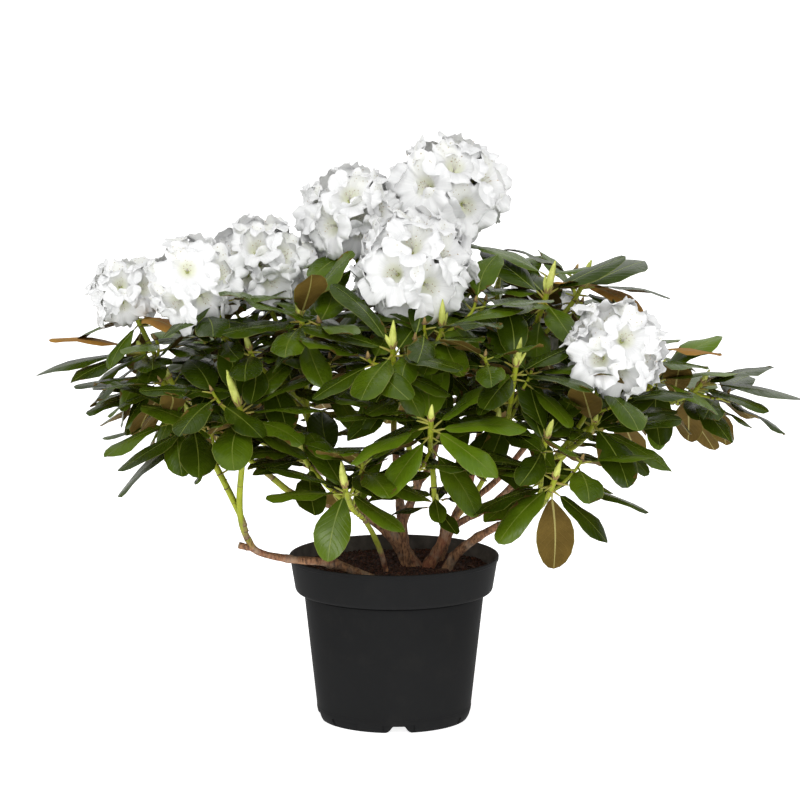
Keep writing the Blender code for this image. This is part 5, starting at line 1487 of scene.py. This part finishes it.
def makeStems():
    look = shootLook
    sides, up, wide = look["sides"], look["ringHigh"] / 2, look["ringRadius"]
    pile, ways, edges = Pile(), [], []
    for mass, name, shoot in allShoots:
        way, (thick, thin) = shoot["fine"], shoot["radii"]
        seed = Vector([random.Random("stem " + mass + name).uniform(0, 50) for _ in range(3)])

        def uneven(place, out, angle, walked, radius):
            along = look["coarse"] * noise.noise(place * look["coarseScale"] + seed)
            return radius * (1 + along + look["fine"] * noise.noise((place + out) * look["fineScale"]))

        count = len(way)
        radii = [thick + (thin - thick) * i / (count - 1) for i in range(count)]
        uvs = [(i / (count - 1), side / sides) for i in range(count) for side in range(sides)]
        pile.add(*tube(way, radii, sides, relief=uneven), uvs=uvs)
        first = len(ways)
        ways += way
        edges += [(first + i, first + i + 1) for i in range(count - 1)]
    made = Finish("youngStem", IOR=1.45)
    along = made.surface()[1]
    cloud, fine = made.spots(55.0, 4.0), made.spots(900.0, 4.0)
    green = made.blend(made.grade(cloud, 0.3, 0.7), (0.215, 0.260, 0.006), (0.350, 0.390, 0.012))
    brown = made.blend(made.grade(fine, 0.4, 0.6), (0.110, 0.060, 0.030), (0.240, 0.150, 0.085))
    colour = made.blend(made.grade(along + 0.20 * cloud, 0.10, 0.24), brown, green)
    finish = made.wear(colour, 0.50 + 0.2 * cloud, fine, 0.0004, 0.6)
    dress(pile.piece("stems", [finish], 80), foliageNodes)
    edge = wide * look["ringEdge"]
    points, faces = tube([Vector((0, 0, high)) for high in (-up, 0, up)], [edge, wide, edge], sides)
    ring = helperMesh("ring", points, faces=faces)
    scar = mottled("nodeRing", 500.0, (0.070, 0.040, 0.016), (0.165, 0.105, 0.040), 0.75)
    carrier = helperMesh("ways", ways, edges=edges)
    rings = repeat("nodeRings", carrier, ring, scar, "way", look["ringSpacing"], *look["ringSizes"])
    dress(rings, foliageNodes)


budLook = {
    "terminal": 0.009, "scales": 5, "scaleWidths": (0.0010, 0.0013, 0.0002),
    # the small bud of a side twig: places along it and widths there
    "twigUp": (-0.2, 0.2, 0.6, 1.0), "twigWidths": (1.0, 1.25, 0.9, 0.1),
    # longer buds have opened into spears of young leaves
    "opened": 0.026, "sideSpears": (0, 1, 2), "sideLean": 0.55, "sideLength": (0.38, 0.55), "sideWidth": 0.72,
    "spearUp": (-0.03, 0.10, 0.28, 0.50, 0.74, 0.92, 1.0),
    "spearWidths": (0.30, 0.42, 0.50, 0.45, 0.29, 0.12, 0.02),
    "bracts": 5, "bractWaver": 0.2, "bractHigh": 0.98, "bractStep": 0.11, "bractProud": (0.02, 0.10),
    "bractWidths": (0.18, 0.29, 0.28, 0.17, 0.02),
}


def makeBuds():
    look, rule = budLook, shootRule
    pile = Pile()
    for mass, name, shoot in allShoots:
        if shoot["truss"]:
            continue
        rng = random.Random("bud " + mass + name)
        axis, tip = shoot["axis"], shoot["fine"][-1]
        if "side" in shoot:
            thin, high = shoot["radii"][1], sideRule["bud"]
            core = [tip + share * high * axis for share in look["twigUp"]]
            pile.add(*tube(core, [thin * k for k in look["twigWidths"]], 6), slot=1)
            continue
        length = shoot["bud"] or look["terminal"]
        width = rule["budWidth"] * min(1.0, rule["budLeast"] + length / rule["budGrowth"])
        spears = [(axis, length, width)]
        right = axis.orthogonal().normalized()
        other = axis.cross(right)
        if length > look["opened"]:
            count = rng.choice(look["sideSpears"])
            for turn in [rng.uniform(0, math.tau) + i * goldenAngle for i in range(count)]:
                lean = axis + look["sideLean"] * ray(right, other, turn)
                reach = length * rng.uniform(*look["sideLength"])
                spears.append((lean.normalized(), reach, width * look["sideWidth"]))
        for along, reach, girth in spears:
            across = along.orthogonal().normalized()
            beside = along.cross(across)
            core = [tip + share * reach * along for share in look["spearUp"]]
            pile.add(*tube(core, [girth * k for k in look["spearWidths"]], 9))
            for index in range(look["bracts"]):
                # the furled young leaves lap over each other up the spear
                turn = index * goldenAngle + rng.uniform(-look["bractWaver"], look["bractWaver"])
                out = ray(across, beside, turn)
                high = reach * (look["bractHigh"] - look["bractStep"] * index)
                proud = rng.uniform(*look["bractProud"]) * girth
                way = [tip + 0.02 * reach * along + out * girth * 0.12,
                       tip + 0.24 * high * along + out * girth * 0.24,
                       tip + 0.50 * high * along + out * girth * 0.25,
                       tip + 0.78 * high * along + out * (girth * 0.16 + proud),
                       tip + high * along + out * (0.06 * girth + 1.6 * proud)]
                pile.add(*tube(way, [girth * k for k in look["bractWidths"]], 7))
        for index in range(look["scales"]):
            out = ray(right, other, index * goldenAngle + 1.0)
            way = [tip - 0.0020 * axis + out * 0.0014, tip + 0.05 * length * axis + out * width * 0.42,
                   tip + (0.12 + 0.04 * index) * length * axis + out * width * (0.56 + 0.05 * index)]
            pile.add(*tube(way, look["scaleWidths"], 5), slot=1)
    young = Finish("budGreen", IOR=1.45)
    cloud = young.spots(160.0)
    tone = young.blend(young.grade(cloud, 0.3, 0.7), (0.430, 0.500, 0.060), (0.690, 0.720, 0.190))
    youngFinish = young.wear(tone, 0.46, young.spots(900.0), 0.0003, 0.5)
    scale = plainGreen("budScale", (0.240, 0.150, 0.050), (0.430, 0.300, 0.110), 0.62, 200.0)
    dress(pile.piece("buds", [youngFinish, scale], 70), foliageNodes)


makeStems()
makeBuds()


# Florets: five waved lobes round a funnel, with freckles on the upper lobe
floretLook = {
    "perLobe": 14, "thick": 0.00034, "cleft": 0.24, "cleftPower": 5.0, "shallow": 0.72, "wide": 0.0380,
    "wideAt": 0.064, "widePower": 0.42, "widths": (0.93, 1.06), "lobeSizes": (0.90, 1.08), "lean": 0.16,
    "leastAlong": 0.15, "overlap": 1.38, "overlapMore": 0.002, "evened": 0.70, "throat": 0.20,
    "ruffle": 0.20, "crimp": 0.09, "tilt": 0.09, "twist": 0.050, "crease": 0.05, "creaseWide": 0.22,
    "cup": 0.03, "curl": 0.06, "layers": (-0.0010, 0.0022),
    # from the throat to the rim: shares of the spread and of the depth
    "rows": ((0.095, -1.0), (0.20, -0.66), (0.36, -0.32), (0.56, -0.11), (0.79, -0.01), (1.0, 0.02)),
    "pedicel": 0.0010, "pedicelWidths": (1.0, 1.0, 0.9, 0.95, 1.5, 2.3), "pedicelLean": 0.8,
    "rachis": (0.0025, 0.0023, 0.0021, 0.0010),
}
# the trusses that share a piece
blossomSides = {
    "blossomLeft": ("truss_far_left", "truss_left", "truss_left_inner"),
    "blossomMiddle": ("truss_centre_left", "truss_top"),
    "blossomFront": ("truss_front", "truss_right"),
    "blossomBack": ("truss_back_left", "truss_back", "truss_back_right"),
}


def rimLimit(out, facing, reach, others):
    # how far a floret may spread that way before it meets the next one
    limit = 1.0
    for other in others:
        across = other - other.dot(facing) * facing
        if across.length < 1e-5:
            continue
        along = across.normalized().dot(out)
        if along > floretLook["leastAlong"]:
            limit = min(limit, reach * math.tan(facing.angle(other) / 2) / along)
    return limit


def fineFloret(form, rng, others, reach):
    look = floretLook
    mouth, facing, spread, depth, turn, root = form
    lobes, per = floretRule["lobes"], look["perLobe"]
    limits = facing
    facing = (facing + look["lean"] * Vector([rng.uniform(-1, 1) for _ in range(3)])).normalized()
    right = facing.orthogonal().normalized()
    other = facing.cross(right)
    around = lobes * per
    # the upper lobe is the one that points highest
    heights = [ray(right, other, turn + math.tau * i / lobes).z for i in range(lobes)]
    upper = turn + math.tau * heights.index(max(heights)) / lobes
    tilts = [rng.uniform(-1, 1) * look["tilt"] for _ in range(lobes)]
    sizes = [rng.uniform(*look["lobeSizes"]) for _ in range(lobes)]
    twist = look["twist"] * rng.choice((-1, 1))
    seed = rng.uniform(0, 90)
    rims = []
    for i in range(around):
        limit = rimLimit(ray(right, other, turn + math.tau * i / around), limits, reach, others)
        rims.append(min(spread, look["overlap"] * limit + look["overlapMore"]))
    # a rounder rim has no spikes where three florets meet
    middle = sum(rims) / around
    rims = [between(rim, middle, look["evened"]) for rim in rims]
    inner, outer, uvs = [], [], []
    for row, (share, high) in enumerate(look["rows"]):
        before, after = look["rows"][max(0, row - 1)], look["rows"][min(len(look["rows"]) - 1, row + 1)]
        run, rise = (after[0] - before[0]) * spread, (after[1] - before[1]) * depth
        span = math.hypot(run, rise)
        # the back lies one thickness behind the face
        beside, behind = look["thick"] * rise / span, look["thick"] * run / span
        grown = min(1.0, max(0.0, (share - look["throat"]) / (1 - look["throat"])))
        blend = grown * grown * (3 - 2 * grown)
        for i in range(around):
            lobe = ((i + per // 2) // per) % lobes
            part = ((i + per // 2) % per) / (per - 1)
            side = abs(2 * part - 1)
            angle = turn + math.tau * i / around
            out = ray(right, other, angle)
            circle = Vector((math.cos(angle), math.sin(angle), 0))
            wavy = noise.noise(circle * 3.2 + Vector((seed, 0, 1.2 * grown)))
            crimp = noise.noise(circle * 6.4 + Vector((0, seed, 0.8 * grown)))
            outline = 1 - look["cleft"] * side ** look["cleftPower"] * blend
            outline *= 1 + (sizes[lobe] - 1 + look["crimp"] * crimp) * blend
            radius = share * between(spread, rims[i], blend) * outline
            crease = look["crease"] * math.exp(-(side / look["creaseWide"]) ** 2)
            lift = high * depth + min(spread, 1.15 * middle) * blend * (
                tilts[lobe] * (1 - side * side) + twist * (2 * part - 1) - look["cup"] * side * side
                - crease * (1 - grown) * 2 - look["curl"] * grown ** 3
                + look["ruffle"] * grown ** 1.6 * wavy + look["crimp"] * 0.8 * grown ** 2 * crimp)
            inner.append(mouth + radius * out + lift * facing)
            outer.append(mouth + (radius + beside) * out + (lift - behind) * facing)
            spin = angle - upper + math.pi / 2
            uvs.append((0.5 + 0.49 * share * math.cos(spin), 0.5 + 0.49 * share * math.sin(spin)))
    rows, count = len(look["rows"]), len(inner)
    faces, slots = [], []
    for a, b, c, d in grid(rows, around):
        faces += [(a, d, c, b), (count + a, count + b, count + c, count + d)]
        slots += [0, 1]
    last = (rows - 1) * around
    for i in range(around):
        a, b = last + i, last + (i + 1) % around
        faces.append((a, count + a, count + b, b))
        slots.append(1)
    faces += [tuple(range(around)), tuple(range(count + around - 1, count - 1, -1))]
    slots += [0, 1]
    return inner + outer, faces, slots, uvs + uvs, facing, middle


def makeFlorets():
    look = floretLook
    blossom, stalks, bunches = {}, Pile(), []
    for name, dome in domes.items():
        side = next(side for side, trusses in blossomSides.items() if name in trusses)
        pile = blossom.setdefault(side, Pile())
        wide = look["wide"] * (dome["size"] / look["wideAt"]) ** look["widePower"]
        for index, form in enumerate(dome["florets"]):
            rng = random.Random(f"floret {name} {index}")
            mouth, facing, spread, depth, turn, root = form
            spread, depth = wide * rng.uniform(*look["widths"]), depth * look["shallow"]
            others = [f[1] for k, f in enumerate(dome["florets"]) if k != index]
            mouth = mouth + facing * rng.uniform(*look["layers"])
            form = (mouth, facing, spread, depth, turn, root)
            *shape, facing, rim = fineFloret(form, rng, others, (mouth - dome["middle"]).length)
            pile.add(*shape)
            foot = mouth - depth * facing
            pull = (foot - root).length
            heading = (dome["top"] - dome["rachis"]).normalized() + look["pedicelLean"] * facing
            way = bend(root, heading.normalized() * pull, foot + 0.001 * facing, facing * pull, 5)
            stalks.add(*tube(way, [look["pedicel"] * k for k in look["pedicelWidths"]], 6))
            bunches.append((foot, facing, min(depth, stamenLook["fit"] * rim) / stamenLook["madeFor"]))
        root, top = dome["rachis"], dome["top"]
        axis = (top - root).normalized()
        way = [root - 0.0008 * axis, root.lerp(top, 0.5), top, top + 0.003 * axis]
        stalks.add(*tube(way, look["rachis"], 8))
    finishes = petalFinishes()
    for name, pile in blossom.items():
        dress(pile.piece(name, finishes, 75), blossomSides[name])
    stalk = plainGreen("pedicel", (0.330, 0.330, 0.105), (0.420, 0.470, 0.180), 0.5, 70.0)
    dress(stalks.piece("flowerStalks", [stalk], 80), trussNodes)
    return bunches


def petalFinishes():
    face = Finish("petalFace", IOR=1.4, Specular_IOR_Level=0.3)
    where, u, v = face.surface()
    away = face.node("ShaderNodeVectorMath", {"operation": "SUBTRACT"}, {0: where, 1: (0.5, 0.5, 0.0)})
    out = face.node("ShaderNodeVectorMath", {"operation": "LENGTH"}, {0: away}, output=1)
    outward = face.node("ShaderNodeVectorMath", {"operation": "NORMALIZE"}, {0: away})
    cloud, silk = face.spots(45.0), face.spots(11.0, where=outward)
    shade = face.grade(cloud * 0.4 + silk * 0.6, 0.36, 0.68)
    colour = face.blend(shade, (0.845, 0.848, 0.842), (0.75, 0.755, 0.76))
    colour = face.blend(1.0 - face.grade(out, 0.03, 0.17), colour, (0.80, 0.82, 0.62))
    # the upper lobe's pale patch and its freckles
    patch = face.grade(((u - 0.5) * 5.2) ** 2.0 + ((v - 0.74) * 3.6) ** 2.0, 1.0, 0.25)
    colour = face.blend(patch * 0.12, colour, (0.80, 0.82, 0.52))
    dots = face.node("ShaderNodeTexVoronoi", {"feature": "F1"},
                     {"Vector": where, "Scale": 20.0, "Randomness": 0.9})
    dots = (1.0 - face.grade(dots, 0.13, 0.23)) * face.grade(patch, 0.05, 0.3)
    colour = face.blend(dots * 0.75, colour, (0.330, 0.250, 0.080))
    back = Finish("petalBack", IOR=1.4, Specular_IOR_Level=0.3)
    shade = back.spots(60.0)
    tone = back.blend(back.grade(shade, 0.3, 0.75), (0.86, 0.862, 0.855), (0.80, 0.80, 0.805))
    return [face.wear(colour, 0.55 + 0.1 * cloud, silk * 0.8 + cloud * 0.4, 0.0006, 0.35),
            back.wear(tone, 0.58, shade, 0.0006, 0.35)]


# Stamens: curved filaments and their anthers, one bunch for each floret
stamenLook = {
    "count": 7, "waver": 0.25, "high": (0.015, 0.022), "wide": (0.0030, 0.0065), "style": (0.027, 0.0045),
    "widths": (0.00045, 0.00038, 0.00034, 0.00028), "anther": (0.0022, 0.0012), "antherUp": 0.0006,
    "antherLean": 0.6, "lift": 0.10,
    # the depth of floret that the bunch is made for, and its most by the rim's radius
    "madeFor": 0.023, "fit": 0.85,
}


def makeStamens(bunches):
    look = stamenLook
    threads, anthers = Pile(), Pile()
    rng = random.Random("stamens")
    for index in range(look["count"]):
        turn = index * math.tau / look["count"] + rng.uniform(-look["waver"], look["waver"])
        out = Vector((math.cos(turn), math.sin(turn), 0))
        high, wide = rng.uniform(*look["high"]), rng.uniform(*look["wide"])
        if index == 0:
            high, wide = look["style"]
        way = [out * 0.0005, out * 0.0012 + Vector((0, 0, high * 0.4)),
               out * wide * 0.6 + Vector((0, 0, high * 0.78)), out * wide + Vector((0, 0, high))]
        threads.add(*tube(way, look["widths"], 3))
        lean = (out + Vector((0, 0, look["antherLean"]))).normalized()
        anthers.add(*gem(way[-1] + Vector((0, 0, look["antherUp"])), lean, *look["anther"]))
    thread = plainGreen("filament", (0.80, 0.78, 0.72), (0.88, 0.84, 0.82), 0.5, 300.0)
    anther = plainGreen("anther", (0.330, 0.230, 0.125), (0.560, 0.440, 0.280), 0.7, 600.0)
    mouths, facings, sizes = zip(*bunches)
    facings = [(facing + Vector((0, 0, look["lift"]))).normalized() for facing in facings]
    for name, pile, finish in (("filaments", threads, thread), ("anthers", anthers, anther)):
        shape = helperMesh(name + "Shape", pile.points, faces=pile.faces)
        carrier = helperMesh(name + "Points", mouths, facings=facings, sizes=sizes)
        dress(repeat(name, carrier, shape, finish, "points"), trussNodes)


makeStamens(makeFlorets())


# Floor, light and the camera of the photograph
stageSet = {
    "size": 60.0, "target": (0.0064, 0.0, 0.346), "distance": 5.0, "elevation": 9.6, "lens": 211.0,
    "sensor": 36.0, "far": 200.0, "sky": 0.66, "glow": 0.84, "lit": (0.0, 0.0, 0.33),
    # place, size and power
    "lamps": {"front": ((0.2, -3.5, 1.8), 2.0, 33.0), "top": ((-0.5, -1.7, 2.8), 0.9, 23.0),
              "rim": ((0.6, 2.6, 2.2), 2.0, 10.0)},
}


def makeStage():
    s = stageSet
    half = s["size"] / 2
    floor = helperMesh("floor", [(-half, -half, 0), (half, -half, 0), (half, half, 0), (-half, half, 0)],
                       faces=[(0, 1, 2, 3)])
    pale = Finish("paleFloor", Emission_Color=(1.0, 1.0, 1.0, 1.0), Emission_Strength=s["glow"])
    cloud = pale.spots(0.7, 2.0)
    floor.data.materials.append(pale.wear(pale.blend(cloud, (0.84, 0.84, 0.84), (0.87, 0.87, 0.87)), 0.85))
    scene = bpy.context.scene
    scene.world = bpy.data.worlds.new("studio")
    scene.world.use_nodes = True
    sky = scene.world.node_tree.nodes["Background"]
    sky.inputs["Color"].default_value = (1.0, 1.0, 1.0, 1.0)
    sky.inputs["Strength"].default_value = s["sky"]
    for name, (place, size, power) in s["lamps"].items():
        light = bpy.data.lights.new(name, "AREA")
        light.energy, light.size = power, size
        lamp = newObject(name, light)
        lamp.location = place
        lamp.rotation_euler = (Vector(s["lit"]) - Vector(place)).to_track_quat("-Z", "Y").to_euler()
    camera = bpy.data.cameras.new("photoCamera")
    camera.lens, camera.sensor_width, camera.clip_end = s["lens"], s["sensor"], s["far"]
    scene.camera = newObject("photoCamera", camera)
    up = math.radians(s["elevation"])
    away = Vector((0.0, -math.cos(up), math.sin(up)))
    scene.camera.location = Vector(s["target"]) + s["distance"] * away
    scene.camera.rotation_euler = (-away).to_track_quat("-Z", "Y").to_euler()
    scene.view_settings.view_transform = "Standard"
    print("stage set")


makeStage()
